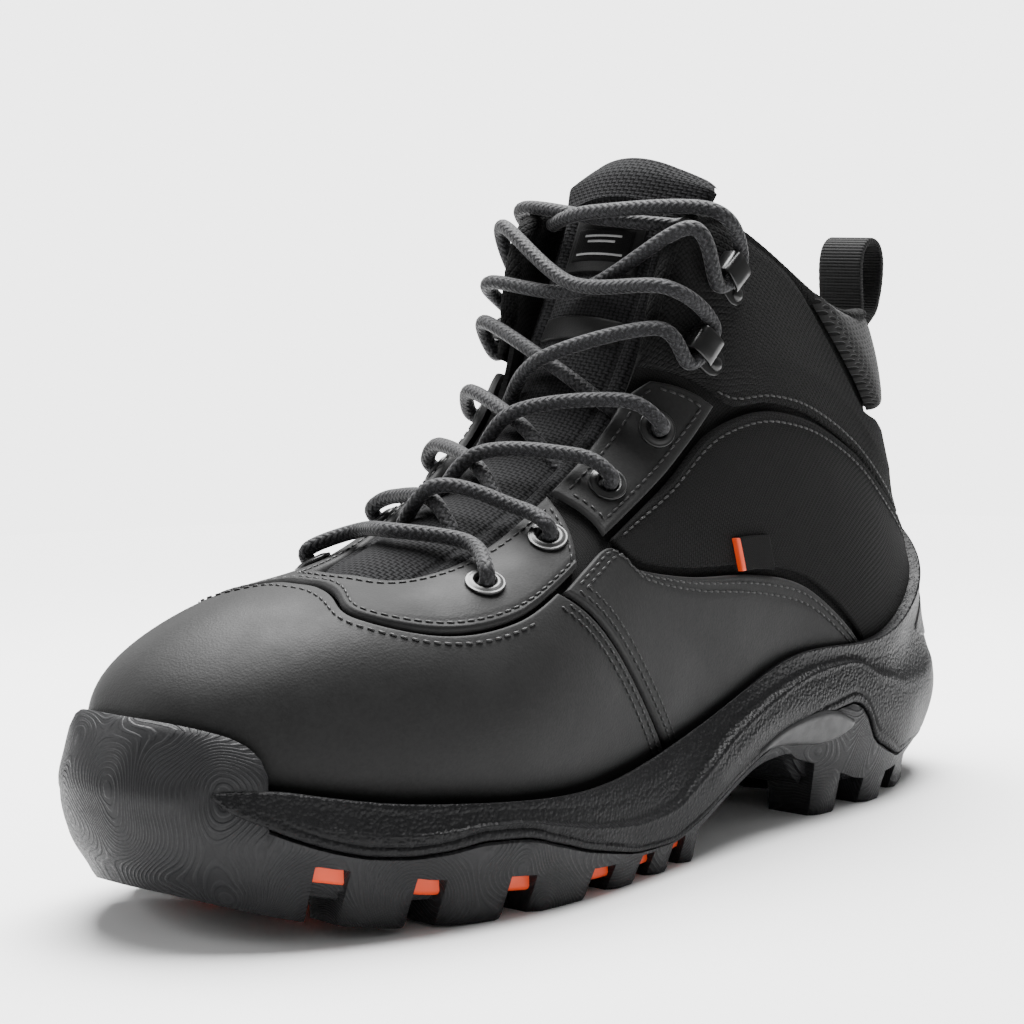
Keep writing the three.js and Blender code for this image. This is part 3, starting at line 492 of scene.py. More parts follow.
def tube_parts(path, radius, sides):
    """Closed round tube along a path; radius is one number or one for each point."""
    path = np.asarray(path, float)
    way = unit(np.gradient(path, axis=0))
    side = np.zeros_like(path)
    start = np.cross(way[0], [0.0, 0.0, 1.0])
    side[0] = unit(start if np.linalg.norm(start) > 0.1 else np.cross(way[0], [1.0, 0, 0]))
    for k in range(1, len(path)):
        s = side[k - 1] - way[k] * (side[k - 1] @ way[k])
        side[k] = s / np.linalg.norm(s)
    up = np.cross(way, side)
    turn = np.arange(sides) / sides * 2 * np.pi
    ring = np.cos(turn)[None, :, None] * side[:, None] + np.sin(turn)[None, :, None] * up[:, None]
    r = np.broadcast_to(np.asarray(radius, float), (len(path),))[:, None, None]
    grid = path[:, None] + ring * r
    n = len(path)
    i, j = np.meshgrid(np.arange(n - 1), np.arange(sides), indexing="ij")
    nxt = (j + 1) % sides
    faces = np.stack(
        [x.ravel() for x in (i * sides + j, i * sides + nxt, (i + 1) * sides + nxt, (i + 1) * sides + j)],
        -1,
    )
    length = arc(path) / 1000
    uv = np.stack([
        np.stack([j / sides, length[i]], -1), np.stack([(j + 1) / sides, length[i]], -1),
        np.stack([(j + 1) / sides, length[i + 1]], -1), np.stack([j / sides, length[i + 1]], -1),
    ], 2).reshape(-1, 2)
    corners = np.concatenate([faces.ravel(), np.arange(sides)[::-1], (n - 1) * sides + np.arange(sides)])
    sizes = np.concatenate([np.full(len(faces), 4), [sides, sides]])
    uv = np.concatenate([uv, np.zeros((2 * sides, 2))])
    return grid.reshape(-1, 3), corners, sizes, uv


def smooth_path(knots, step):
    """Points a step apart on a spline through the knots."""
    fine = along(knots, np.linspace(0, 1, len(knots) * 40))
    length = arc(fine)
    at = np.linspace(0, length[-1], int(length[-1] / step) + 1)
    return np.stack([np.interp(at, length, fine[:, k]) for k in range(3)], -1)


def seat(u, v):
    """Place on the upper with its axes: out of the surface, towards the throat, and across."""
    out = normal_of(upper, np.float64(u), np.float64(v))
    throat = upper(u, v + 1e-3) - upper(u, v - 1e-3)
    throat = unit(throat - out * (throat @ out))
    return upper(u, v), out, throat, np.cross(throat, out)


# ---- Finishes -----------------------------------------------------------------------------
class Finish:
    """A node material under construction."""

    def __init__(self, name, roughness, metallic=0.0, sheen=0.0, coat=0.0, specular=0.5):
        self.material = bpy.data.materials.new(name)
        self.material.use_nodes = True
        self.tree = self.material.node_tree
        self.shader = self.tree.nodes["Principled BSDF"]
        set_to = {"Roughness": roughness, "Metallic": metallic, "Sheen Weight": sheen,
                  "Sheen Roughness": 0.45, "Coat Weight": coat, "Coat Roughness": 0.12,
                  "Specular IOR Level": specular}
        for socket, value in set_to.items():
            self.shader.inputs[socket].default_value = value

    def node(self, kind, **inputs):
        made = self.tree.nodes.new(kind)
        for socket, value in inputs.items():
            self.feed(made.inputs[socket.replace("_", " ")], value)
        return made

    def feed(self, socket, value):
        if isinstance(value, bpy.types.NodeSocket):
            self.tree.links.new(value, socket)
        else:
            socket.default_value = value

    def math(self, operation, a, b=0.0, c=0.0):
        made = self.tree.nodes.new("ShaderNodeMath")
        made.operation = operation
        for socket, value in zip(made.inputs, (a, b, c)):
            self.feed(socket, value)
        return made.outputs[0]

    def vector(self, operation, a, b=(0, 0, 0)):
        made = self.tree.nodes.new("ShaderNodeVectorMath")
        made.operation = operation
        self.feed(made.inputs[0], a)
        self.feed(made.inputs[1], b)
        return made.outputs["Value" if operation == "LENGTH" else "Vector"]

    def ramp(self, value, low, high, start=0.0, end=1.0):
        made = self.node("ShaderNodeMapRange", Value=value)
        made.interpolation_type = "SMOOTHSTEP"
        for socket, number in zip(("From Min", "From Max", "To Min", "To Max"), (low, high, start, end)):
            made.inputs[socket].default_value = number
        return made.outputs["Result"]

    def place(self):
        return self.tree.nodes.new("ShaderNodeTexCoord").outputs["Object"]

    def surface(self):
        made = self.tree.nodes.new("ShaderNodeUVMap")
        made.uv_map = "surface"
        return made.outputs["UV"]

    def mark(self, name):
        made = self.tree.nodes.new("ShaderNodeAttribute")
        made.attribute_name = name
        return made.outputs["Fac"]

    def noise(self, place, scale, detail=3.0, roughness=0.55, distortion=0.0):
        made = self.node("ShaderNodeTexNoise", Vector=place, Scale=scale, Detail=detail,
                         Roughness=roughness, Distortion=distortion)
        return made.outputs["Fac"]

    def cells(self, place, scale):
        made = self.node("ShaderNodeTexVoronoi", Vector=place, Scale=scale)
        return made.outputs["Distance"]

    def blend(self, share, a, b):
        made = self.tree.nodes.new("ShaderNodeMix")
        made.data_type = "RGBA"
        self.feed(made.inputs[0], share)
        for socket, value in ((made.inputs[6], a), (made.inputs[7], b)):
            self.feed(socket, (*value, 1) if isinstance(value, tuple) else value)
        return made.outputs[2]

    def colour(self, value):
        self.feed(self.shader.inputs["Base Color"], (*value, 1) if isinstance(value, tuple) else value)
        return self

    def rough(self, value):
        self.feed(self.shader.inputs["Roughness"], value)
        return self

    def relief(self, height, depth, strength=1.0):
        """Bump of the given depth in millimetres."""
        bump = self.node("ShaderNodeBump", Height=height, Strength=strength)
        bump.inputs["Distance"].default_value = depth / 1000
        below = self.shader.inputs["Normal"]
        if below.is_linked:
            self.tree.links.new(below.links[0].from_socket, bump.inputs["Normal"])
        self.tree.links.new(bump.outputs["Normal"], below)
        return self

    def weave(self, place, pitch_x, pitch_y, low=0.45):
        """Height of a plain weave with threads the given distances apart, in mm."""
        split = self.node("ShaderNodeSeparateXYZ", Vector=place).outputs
        x = self.math("MULTIPLY", split[0], 1000 / pitch_x)
        y = self.math("MULTIPLY", split[1], 1000 / pitch_y)
        cell = self.math("ADD", self.math("FLOOR", x), self.math("FLOOR", y))
        turn = self.math("FLOORED_MODULO", cell, 2.0)
        other = self.math("SUBTRACT", 1.0, turn)
        rise_x = self.math("MULTIPLY_ADD", turn, 1 - low, low)
        rise_y = self.math("MULTIPLY_ADD", other, 1 - low, low)
        warp = self.math("ABSOLUTE", self.math("SINE", self.math("MULTIPLY", x, math.pi)))
        weft = self.math("ABSOLUTE", self.math("SINE", self.math("MULTIPLY", y, math.pi)))
        return self.math("MAXIMUM", self.math("MULTIPLY", warp, rise_x), self.math("MULTIPLY", weft, rise_y))


DYE = 0.3  # how dark every grey is taken, so that the boot reads black in studio light


def grey(value, blue=0.0):
    return (value * DYE, value * DYE, value * DYE * (1 + blue))


def leather_finish(name, dark, light, edge, roughness=0.55, sheen=0.25):
    f = Finish(name, roughness, sheen=sheen * 0.15, specular=0.16)
    place = f.place()
    cloud = f.noise(place, 38, 4)
    speck = f.noise(place, 900, 2)
    tone = f.math("MULTIPLY_ADD", speck, 0.35, f.math("MULTIPLY", cloud, 0.65))
    base = f.blend(f.ramp(tone, 0.35, 0.65), dark, light)
    # Colour turns lighter towards each panel's edges, by distance from the edge.
    lighter_near_edge = f.ramp(f.mark("rim"), 0.15, 0.75, 1.0, 0.0)
    f.colour(f.blend(lighter_near_edge, base, edge))
    f.rough(f.ramp(cloud, 0.3, 0.7, roughness - 0.07, roughness + 0.08))
    grain = f.cells(place, 1500)
    f.relief(grain, 0.09, 0.5)
    return f.relief(f.noise(place, 260, 4), 0.16, 0.45).material


def woven_finish(name, pitch_x, pitch_y, dark, light, depth, sheen=0.25, ribs=None):
    f = Finish(name, 0.85, sheen=sheen * 0.06, specular=0.08)
    cloth = f.surface()
    height = f.weave(cloth, pitch_x, pitch_y)
    fuzz = f.noise(f.place(), 2500, 2)
    tone = f.math("MULTIPLY_ADD", fuzz, 0.3, f.math("MULTIPLY", height, 0.7))
    if ribs:
        split = f.node("ShaderNodeSeparateXYZ", Vector=cloth).outputs
        slant = f.math("MULTIPLY_ADD", split[1], ribs[1], f.math("MULTIPLY", split[0], ribs[0]))
        rib = f.math("ABSOLUTE", f.math("SINE", slant))
        f.relief(f.ramp(rib, 0.0, 0.7), 0.35, 0.8)
    f.colour(f.blend(f.ramp(tone, 0.25, 0.85), dark, light))
    return f.relief(height, depth, 0.9).material


def spacer_finish():
    f = Finish("spacer_mesh", 0.8, sheen=0.08, specular=0.2)
    cloth = f.surface()
    cell = (0.0022, 0.0022 * 1.732, 1)
    here = f.vector("DIVIDE", cloth, cell)
    spots = []
    for shift in ((0, 0, 0), (0.5, 0.5, 0)):
        moved = f.vector("FRACTION", f.vector("ADD", here, shift))
        centred = f.vector("MULTIPLY", f.vector("SUBTRACT", moved, (0.5, 0.5, 0)), (1, 1.732, 0))
        spots.append(f.vector("LENGTH", centred))
    near = f.math("MINIMUM", *spots)
    knit = f.ramp(near, 0.24, 0.36)
    thread = f.noise(f.place(), 3000, 2)
    f.colour(f.blend(knit, grey(0.002), f.blend(thread, grey(0.012), grey(0.075))))
    f.relief(thread, 0.12, 0.6)
    return f.relief(knit, 0.8, 1.0).material


def webbing_finish():
    f = Finish("grosgrain_webbing", 0.75, sheen=0.03, specular=0.12)
    split = f.node("ShaderNodeSeparateXYZ", Vector=f.surface()).outputs
    rib = f.math("ABSOLUTE", f.math("SINE", f.math("MULTIPLY", split[1], math.pi * 1000 / 0.95)))
    thread = f.math("ABSOLUTE", f.math("SINE", f.math("MULTIPLY", split[0], math.pi * 1000 / 0.55)))
    height = f.math("MULTIPLY_ADD", thread, 0.25, f.math("MULTIPLY", rib, 0.75))
    f.colour(f.blend(height, grey(0.006), grey(0.035)))
    return f.relief(height, 0.3, 0.9).material


def lace_finish():
    f = Finish("braided_lace", 0.62, sheen=0.1, specular=0.2)
    split = f.node("ShaderNodeSeparateXYZ", Vector=f.surface()).outputs
    strands, pitch = 6, 0.0021
    turn = f.math("MULTIPLY", split[0], float(strands))
    run = f.math("DIVIDE", split[1], pitch)
    left = f.math("ABSOLUTE", f.math("SINE", f.math("MULTIPLY", f.math("ADD", turn, run), math.pi)))
    right = f.math("ABSOLUTE", f.math("SINE", f.math("MULTIPLY", f.math("SUBTRACT", turn, run), math.pi)))
    cell = f.math(
        "ADD", f.math("FLOOR", f.math("ADD", turn, run)), f.math("FLOOR", f.math("SUBTRACT", turn, run))
    )
    over = f.math("FLOORED_MODULO", cell, 2.0)
    height = f.math("MAXIMUM", f.math("MULTIPLY", left, f.math("MULTIPLY_ADD", over, 0.5, 0.5)),
                    f.math("MULTIPLY", right, f.math("MULTIPLY_ADD", over, -0.5, 1.0)))
    fleck = f.ramp(f.noise(f.place(), 1500, 2), 0.5, 0.62)
    base = f.blend(height, grey(0.005, 0.1), grey(0.035, 0.12))
    f.colour(f.blend(f.math("MULTIPLY", fleck, f.math("MULTIPLY", height, 0.45)), base, grey(0.2, 0.08)))
    return f.relief(height, 0.3, 0.9).material


def contour_rubber(name, line_pitch, dark, light):
    """Moulded rubber with fine raised lines that wander over it like contours on a map."""
    f = Finish(name, 0.55, specular=0.24)
    place = f.place()
    hills = f.noise(place, 26, 1, 0.4)
    lines = f.math("SINE", f.math("MULTIPLY", hills, line_pitch))
    raised = f.ramp(lines, -0.2, 0.9)
    grain = f.noise(place, 1600, 2)
    f.colour(f.blend(f.math("MULTIPLY_ADD", raised, 0.3, f.math("MULTIPLY", grain, 0.7)), dark, light))
    f.rough(f.ramp(grain, 0.3, 0.7, 0.42, 0.62))
    f.relief(grain, 0.06, 0.5)
    return f.relief(raised, 0.16, 0.8).material


def pebbled_foam():
    f = Finish("pebbled_foam", 0.55, specular=0.15)
    place = f.place()
    pebble = f.ramp(f.cells(place, 900), 0.1, 0.75, 1.0, 0.0)
    fine = f.cells(place, 2100)
    cloud = f.noise(place, 30, 3)
    f.colour(
        f.blend(
            f.math("MULTIPLY_ADD", pebble, 0.4, f.math("MULTIPLY", cloud, 0.6)),
            grey(0.009, 0.1),
            grey(0.021, 0.1),
        )
    )
    f.rough(f.ramp(cloud, 0.3, 0.7, 0.42, 0.58))
    f.relief(fine, 0.08, 0.5)
    return f.relief(pebble, 0.2, 0.75).material


def plain_finish(name, tone, roughness, metallic=0.0, coat=0.0, scale=400, depth=0.03, spread_by=0.25):
    f = Finish(name, roughness, metallic=metallic, coat=coat)
    place = f.place()
    mottle = f.noise(place, scale, 3)
    dark = tuple(c * (1 - spread_by) for c in tone)
    light = tuple(c * (1 + spread_by) for c in tone)
    f.colour(f.blend(mottle, dark, light))
    f.rough(f.ramp(f.noise(place, scale / 5, 3), 0.3, 0.7, roughness * 0.85, min(1, roughness * 1.15)))
    return f.relief(mottle, depth, 0.4).material


vamp_leather = leather_finish("nubuck_leather", grey(0.026), grey(0.042), grey(0.09), 0.62, 0.3)
trim_leather = leather_finish("eyestay_leather", grey(0.022), grey(0.036), grey(0.1), 0.64, 0.25)
smooth_leather = leather_finish("smooth_leather", grey(0.012), grey(0.02), grey(0.04), 0.5, 0.15)
fine_cloth = woven_finish("fine_woven_cloth", 0.8, 0.8, grey(0.004), grey(0.022), 0.16)
ankle_cloth = woven_finish(
    "ribbed_ankle_cloth", 1.0, 1.0, grey(0.006), grey(0.032), 0.2, ribs=(900.0, 1400.0)
)
tongue_cloth = woven_finish("tongue_basket_cloth", 1.3, 1.1, grey(0.007), grey(0.048, 0.06), 0.28)
lining_cloth = woven_finish("lining_knit", 1.0, 0.7, grey(0.01), grey(0.04), 0.15)
bed_cloth = woven_finish("footbed_felt", 0.6, 0.6, grey(0.02), grey(0.045), 0.08)
spacer = spacer_finish()
webbing = webbing_finish()
braid = lace_finish()
thread = plain_finish("sewing_thread", grey(0.012), 0.55, scale=3000, depth=0.05)
wall_rubber = contour_rubber("contour_rubber", 480.0, grey(0.017, 0.1), grey(0.036, 0.1))
foam = pebbled_foam()
smooth_rubber = plain_finish("smooth_rubber", grey(0.026, 0.08), 0.5, scale=1400, depth=0.08)
orange_rubber = plain_finish("orange_rubber", (0.62, 0.045, 0.001), 0.55, scale=300, spread_by=0.08)
enamel = plain_finish("black_enamel", grey(0.012), 0.34, coat=0.1, depth=0.01)
satin_metal = plain_finish("satin_black_metal", grey(0.015), 0.32, metallic=0.3, coat=0.1, depth=0.015)
# Lighter metal for the eyelet lips: a painted highlight round each eyelet's inner rim.
lip_highlight_metal = plain_finish("painted_highlight_steel", grey(0.14), 0.4, metallic=1.0, depth=0.01)
tip_plastic = plain_finish("tip_plastic", grey(0.012), 0.2, coat=0.5)
board_fibre = plain_finish("fibre_board", (0.25, 0.22, 0.18), 0.9, scale=700)
label_cloth = woven_finish("label_cloth", 0.5, 0.5, grey(0.006), grey(0.02), 0.08)
print_grey = plain_finish("label_print", grey(0.9), 0.7, scale=1500)

# ---- Lace -----------------------------------------------------------------------------------
LACE_R = 2.1
EYELETS = [(2.9, 0.82), (3.6, 0.86), (4.45, 0.86), (5.25, 0.85)]
HOOKS = [(6.08, 0.88), (6.8, 0.915)]
TONGUE = [
    (-92, 76, 16, 6), (-72, 87, 22, 9), (-50, 95, 27, 12), (-26, 105, 30, 13), (-3, 121, 29, 13),
    (13, 144, 28, 12), (25, 166, 26, 9), (31, 178, 26, 7), (32.5, 180.5, 26, 7), (36, 187, 27, 7),
    (41, 191, 24, 7),
]
PARTING = 0.7
CROSSINGS = [0.225, 0.3, 0.374, 0.452, 0.54]
TOP_CROSSING, BAR = 0.65, 0.15
HIGH, LOW = 8.4, 3.7


def on_tongue(t, s, lift):
    """Point over the tongue: t up its length, s from its outer side, 1, to its inner, -1."""
    t, s, lift = np.broadcast_arrays(*(np.asarray(x, float) for x in (t, s, lift)))
    y, z, width, drop = np.moveaxis(along(TONGUE, t), -1, 0)
    before, after = along(TONGUE, np.maximum(t - 0.01, 0)), along(TONGUE, np.minimum(t + 0.01, 1))
    slope = unit((after - before)[..., :2])
    rise = lift - drop * s * s
    return np.stack([s * width + toe_lean(y), y - slope[..., 1] * rise, z + slope[..., 0] * rise], -1)


def station(u, inner):
    return ROUND - u if inner else u


def through_eyelet(k, inner):
    u, v = EYELETS[k]
    origin, out, throat, _ = seat(station(u, inner), v)
    rim, rim_out, rim_throat, _ = seat(station(u, inner), 1.0)
    return [
        rim + rim_out * (LACE_R + 1.9),
        origin + throat * 0.3 + out * 4.1,
        origin - out * 2.2,
        origin + throat * 0.3 - out * (LACE_R + 6.9),
        rim - rim_out * (LACE_R + 5.1) + rim_throat * 2,
    ]


def round_hook(k, inner):
    u, v = HOOKS[k]
    origin, out, throat, run = seat(station(u, inner), v)
    up = -1 if inner else 1

    def over(du):
        rim, rim_out, _, _ = seat(station(u + du, inner), 1.0)
        return rim + rim_out * (LACE_R + 2.4)

    channel = [origin + throat * 0.1 + run * up * far + out * (LACE_R + 1.9) for far in (-6.6, 6.6)]
    return [over(-0.12), *channel, over(0.16)]


def half_lace(start_inner):
    inner, points = start_inner, []
    for k in range(4):
        points += through_eyelet(k, inner)
        points.append(on_tongue(CROSSINGS[k], 0, HIGH if (k % 2 == 0) == start_inner else LOW))
        inner = not inner
    for k in range(2):
        points += round_hook(k, inner)
        points.append(
            on_tongue(TOP_CROSSING if k else CROSSINGS[4], 0, HIGH if start_inner == (k == 1) else LOW)
        )
        inner = not inner
    x = -1 if inner else 1
    tail = [(22, 29, 173), (24, 38.5, 172), (23.5, 47, 158), (22, 55, 138)]
    return points + [np.array([x * a, y, z], float) for a, y, z in tail]


lace_knots = np.array(half_lace(True)[::-1] + [on_tongue(BAR, 0, 4.4)] + half_lace(False))
lace_line = smooth_path(lace_knots, 0.75)
lace = write_mesh("lace_braid", *tube_parts(lace_line, LACE_R, 14), braid, sharp=70)


def lace_tip(name, end, before):
    way = unit(end - before)
    profile = [(-2.5, 2.02), (0.0, 2.05), (0.6, 2.0), (1.0, 1.88), (21.0, 1.72), (22.0, 1.5), (22.4, 0.9)]
    path = np.array([end + way * a for a, _ in profile])
    return write_mesh(name, *tube_parts(path, [r for _, r in profile], 16), tip_plastic, sharp=60)


tips = [
    lace_tip("lace_tip_inner", lace_line[0], lace_line[2]),
    lace_tip("lace_tip_outer", lace_line[-1], lace_line[-3]),
]
frame_line = (lace_line + CENTRE) / 1000
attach(lace, "boot")
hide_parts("lace")
for tip, node in zip(tips, ("aglet_inner", "aglet_outer")):
    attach(tip, "boot")
    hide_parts(node)
float(arc(frame_line)[-1])


def finish_piece(piece, slot, *nodes, body="boot"):
    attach(piece, body)
    if nodes:
        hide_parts(*nodes)
    return piece


# ---- Upper: leather and cloth panels ----------------------------------------------------------
EYESTAY_EDGE = [
    (0, 0.91), (0.6, 0.905), (1.2, 0.86), (1.8, 0.75), (2.45, 0.655), (3, 0.65), (3.4, 0.68),
    (3.65, 0.7), (4.05, 0.73), (4.6, 0.74), (5.1, 0.74), (5.55, 0.742), (5.84, 0.75),
]
SEAM_FOOT, SEAM_HEAD, FRONT_END = 4.72, 3.42, 4
QUARTER_TOP = [
    (3.47, 0.66), (3.75, 0.685), (4.02, 0.69), (4.25, 0.59), (4.9, 0.505), (5.75, 0.425),
    (6.25, 0.375), (6.6, 0.31), (6.95, 0.22), (7.3, 0.1),
]
ARCH_TOP = [
    (4.12, 0.71), (4.6, 0.722), (5.1, 0.722), (5.55, 0.724), (6.05, 0.7), (6.6, 0.68),
    (7.15, 0.655), (7.65, 0.6), (8.2, 0.5), (8.85, 0.4),
]
COLLAR_SIDE = [
    (5.65, 0.995), (6.2, 0.995), (6.8, 0.995), (7.35, 0.995), (7.74, 0.985), (7.93, 0.86),
    (8.15, 0.73), (8.85, 0.68),
]
ANKLE_LOW = [
    (5.93, 0.77), (6.1, 0.718), (6.6, 0.697), (7.15, 0.672), (7.67, 0.617), (8.22, 0.517), (8.85, 0.417),
]
REAR_HIGH = [(4.06, 0.99), (4.55, 0.99), (5, 0.99), (5.35, 0.985), (5.6, 0.94)]
# Layers, from their inner to their outer face, measured from the upper's surface.
LEATHER, TEXTILE, LINING, COLLAR = (-1.9, 0.0), (-1.9, -0.5), (-4.9, -3.5), (-1.9, 2.4)


DOUBLE_ROW = (2.2, 4.8)  # the two stitch rows of a main seam, in from the edge
LOW_ROW, THROAT_ROW = 3.0, 3.6  # the eyestays' rows along their lower edge and along the throat


def level(start, end, v):
    return [(start + (end - start) * i / 6, v) for i in range(7)]


def mirrored(edge):
    return [(ROUND - u, v) for u, v in edge][::-1]


def edge_to(limit, dv):
    half = [(u, v + dv) for u, v in EYESTAY_EDGE if u <= limit]
    return [(-u, v) for u, v in half[1:][::-1]] + half


def groove(far, depth):
    """Shallow furrow where a seam pulls a panel down, by distance from the seam."""
    return depth * np.exp(-((far / 0.55) ** 2))


def eyestay_lift(panel, round_edge):
    """Outer face of an eyestay piece, with a furrow along the seam of each long edge."""
    lift = panel.rounded(round_edge, round_edge)
    return lift - groove(panel.from_low - LOW_ROW, 0.28) - groove(panel.from_high - THROAT_ROW, 0.22)


def eyestay_seams(panel, end_inset):
    rows = [
        ("low", LOW_ROW, -0.1), ("high", THROAT_ROW, -0.05), ("start", 2.4, 0.05),
        ("end", end_inset, 0.05),
    ]
    return [(panel.seam(edge, inset), lift) for edge, inset, lift in rows]


dark_seams, cloth_seams = [], []

vamp = Panel(level(-SEAM_FOOT, SEAM_FOOT, 0), edge_to(SEAM_HEAD, -0.012), LEATHER, 2.0)
lift = vamp.rounded(0.9, 0.7)
creases = 0.18 * np.sin(vamp.uv[..., 0] * 2.1 + 1) * np.sin(vamp.uv[..., 1] * 9)
finish_piece(
    vamp.build("vamp_leather", vamp_leather, lift + creases * np.clip(vamp.rim / 8, 0, 1)),
    "leather",
    "vamp",
)

front = Panel(
    edge_to(FRONT_END, 0.005),
    [(u * FRONT_END / 3.65, 0.99) for u, _ in edge_to(FRONT_END, 0)],
    LEATHER,
    1.4,
)
lift = eyestay_lift(front, 1.3)
lift += 0.35 * np.exp(-(((front.from_low - 1.5) / 0.9) ** 2))
finish_piece(front.build("eyestay_leather_front", trim_leather, lift), "leather", "eyestay_front")
dark_seams += eyestay_seams(front, 2.4)

rear_low = [(u, v + 0.005) for u, v in EYESTAY_EDGE if u > FRONT_END]
for side, turn in (("outer", list), ("inner", mirrored)):
    rear = Panel(turn(rear_low), turn(REAR_HIGH), LEATHER, 1.4)
    rear_piece = rear.build("eyestay_leather_" + side, trim_leather, eyestay_lift(rear, 1.2))
    finish_piece(rear_piece, "leather", "eyestay_rear_" + side)
    dark_seams += eyestay_seams(rear, 3.0)

    quarter = Panel(turn(level(SEAM_FOOT + 0.05, 7.35, 0)), turn(QUARTER_TOP), LEATHER, 2.0)
    seam_side = quarter.from_start if side == "outer" else quarter.from_end
    lift = quarter.rounded(1.0, 1.0)
    for far in DOUBLE_ROW:
        lift -= groove(quarter.from_high - far, 0.22)
        lift -= groove(seam_side - far, 0.22)
    finish_piece(
        quarter.build("quarter_leather_" + side + "_skin", vamp_leather, lift),
        "leather",
        "quarter_leather_" + side,
    )
    for far in DOUBLE_ROW:
        dark_seams.append((quarter.seam("high", far), -0.1))
        dark_seams.append((quarter.seam("start" if side == "outer" else "end", far), -0.1))

    woven_low = [(u + 0.07, v + 0.014) for u, v in QUARTER_TOP[2:]] + [(8.85, 0.02)]
    woven = Panel(turn(woven_low), turn(ARCH_TOP), TEXTILE, 1.8)
    lift = woven.rounded(0.8, 0.5) + 0.7 * np.exp(-(((woven.from_high - 1.3) / 0.9) ** 2))
    finish_piece(
        woven.build("quarter_cloth_" + side, fine_cloth, lift), "woven_textile", "quarter_textile_" + side
    )
    cloth_seams.append((woven.seam("high", 3.2), -0.42))

    ankle = Panel(turn(ANKLE_LOW), turn(COLLAR_SIDE), TEXTILE, 1.8)
    padding = 1.5 * np.clip(ankle.from_low / 14, 0, 1) ** 1.5 * np.clip(ankle.rim / 5, 0, 1)
    lift = ankle.rounded(1.2, 1.0) + padding - groove(ankle.from_low - 2.4, 0.2)
    finish_piece(
        ankle.build("ankle_cloth_" + side, ankle_cloth, lift), "ankle_textile", "ankle_panel_" + side
    )
    cloth_seams.append((ankle.seam("low", 2.4), -0.5))

dark_seams += [(vamp.seam(edge, far), 0.02) for edge in ("end", "start") for far in DOUBLE_ROW]
dark_seams.append((vamp.seam("high", 3.0, 12, 12), 0.05))

backstay = Panel(level(8.95, 11.05, 0.02), level(8.95, 11.05, 0.68), LEATHER, 1.8)
lift = backstay.rounded(1.2, 1.2) + 0.4 * np.clip(backstay.rim / 6, 0, 1)
finish_piece(backstay.build("backstay_leather", smooth_leather, lift), "heel_leather", "backstay")
dark_seams += [
    (backstay.seam("start", 2.5, 30, 3), 0.2), (backstay.seam("end", 2.5, 30, 3), 0.2),
    (backstay.seam("high", 2.5), 0.2),
]

collar = Panel(level(8.5, 11.5, 0.715), level(7.92, 12.08, 0.995), COLLAR, 1.5)
up_collar = np.clip(collar.from_low / collar.width[:, None], 0, 1)
swell = 0.9 * np.sin(np.pi * up_collar) * np.clip(collar.rim / 6, 0, 1)
collar_piece = collar.build("collar_spacer_mesh", spacer, collar.rounded(3.2, 3.0) + swell)
finish_piece(collar_piece, "spacer_mesh", "collar_mesh")

finish_piece(sew("leather_stitching", dark_seams, thread), "leather")
finish_piece(sew("cloth_stitching", cloth_seams, thread), "woven_textile")


# Rolled edge round the top of the ankle, over the panels and the lining.
def rolled_topline():
    u = np.linspace(5.72, 14.28, 420)
    taper = np.clip(np.minimum(u - 5.72, 14.28 - u) / 0.35, 0.05, 1) ** 0.5
    centre_lift = -2.1 + 1.4 * np.clip((1.9 - abs(u - 10)) / 0.5, 0, 1)
    at = np.full_like(u, 0.99)
    out = normal_of(upper, u, at)
    path = upper(u, at) + out * centre_lift[:, None]
    up = unit(upper(u, at) - upper(u, at - 0.01))
    turn = np.arange(18) / 18 * 2 * np.pi
    ribs = 1 + 0.035 * np.sin(arc(path) * 2 * np.pi / 2.4)[:, None]
    wide = (2.7 + 0.9 * np.clip((1.9 - abs(u - 10)) / 0.5, 0, 1))[:, None]
    sideways = out[:, None] * (np.cos(turn)[None] * wide * ribs)[..., None]
    upwards = up[:, None] * (np.sin(turn)[None] * 2.1 * ribs)[..., None]
    grid = path[:, None] + (sideways + upwards) * taper[:, None, None]
    n, sides = len(u), 18
    i, j = np.meshgrid(np.arange(n - 1), np.arange(sides), indexing="ij")
    nxt = (j + 1) % sides
    faces = np.stack(
        [x.ravel() for x in (i * sides + j, (i + 1) * sides + j, (i + 1) * sides + nxt, i * sides + nxt)],
        -1,
    )
    length = arc(path) / 1000
    uv = np.stack(
        [
            np.stack([length[a], b * 0.0009], -1)
            for a, b in ((i, j), (i + 1, j), (i + 1, j + 1), (i, j + 1))
        ],
        2,
    )
    corners = np.concatenate([faces.ravel(), np.arange(sides), ((n - 1) * sides + np.arange(sides))[::-1]])
    sizes = np.concatenate([np.full(len(faces), 4), [sides, sides]])
    uv = np.concatenate([uv.reshape(-1, 2), np.zeros((2 * sides, 2))])
    return write_mesh("topline_roll", grid.reshape(-1, 3), corners, sizes, uv, ankle_cloth, sharp=60)


finish_piece(rolled_topline(), "ankle_textile")


# ---- Inside: lining, footbed and board ---------------------------------------------------------
def ring_shell(name, u, v, low, high, material):
    uu, vv = np.meshgrid(u, v, indexing="ij")
    outer = on_upper(uu, vv, np.full_like(uu, high))
    inner = on_upper(uu, vv, np.full_like(uu, low))
    around = arc(np.concatenate([outer[:, len(v) // 2], outer[:1, len(v) // 2]])) / 1000
    span = np.stack(np.broadcast_arrays(around[:, None], (vv[0] * 0.11)[None]), -1)
    return write_mesh(name, *shell_parts(outer, inner, span, ring=True), material)


lining = ring_shell(
    "lining_knit_sock", np.arange(240) / 240 * ROUND, np.linspace(0, 0.99, 34), *LINING, lining_cloth
)
finish_piece(lining, "lining_fabric", "lining")


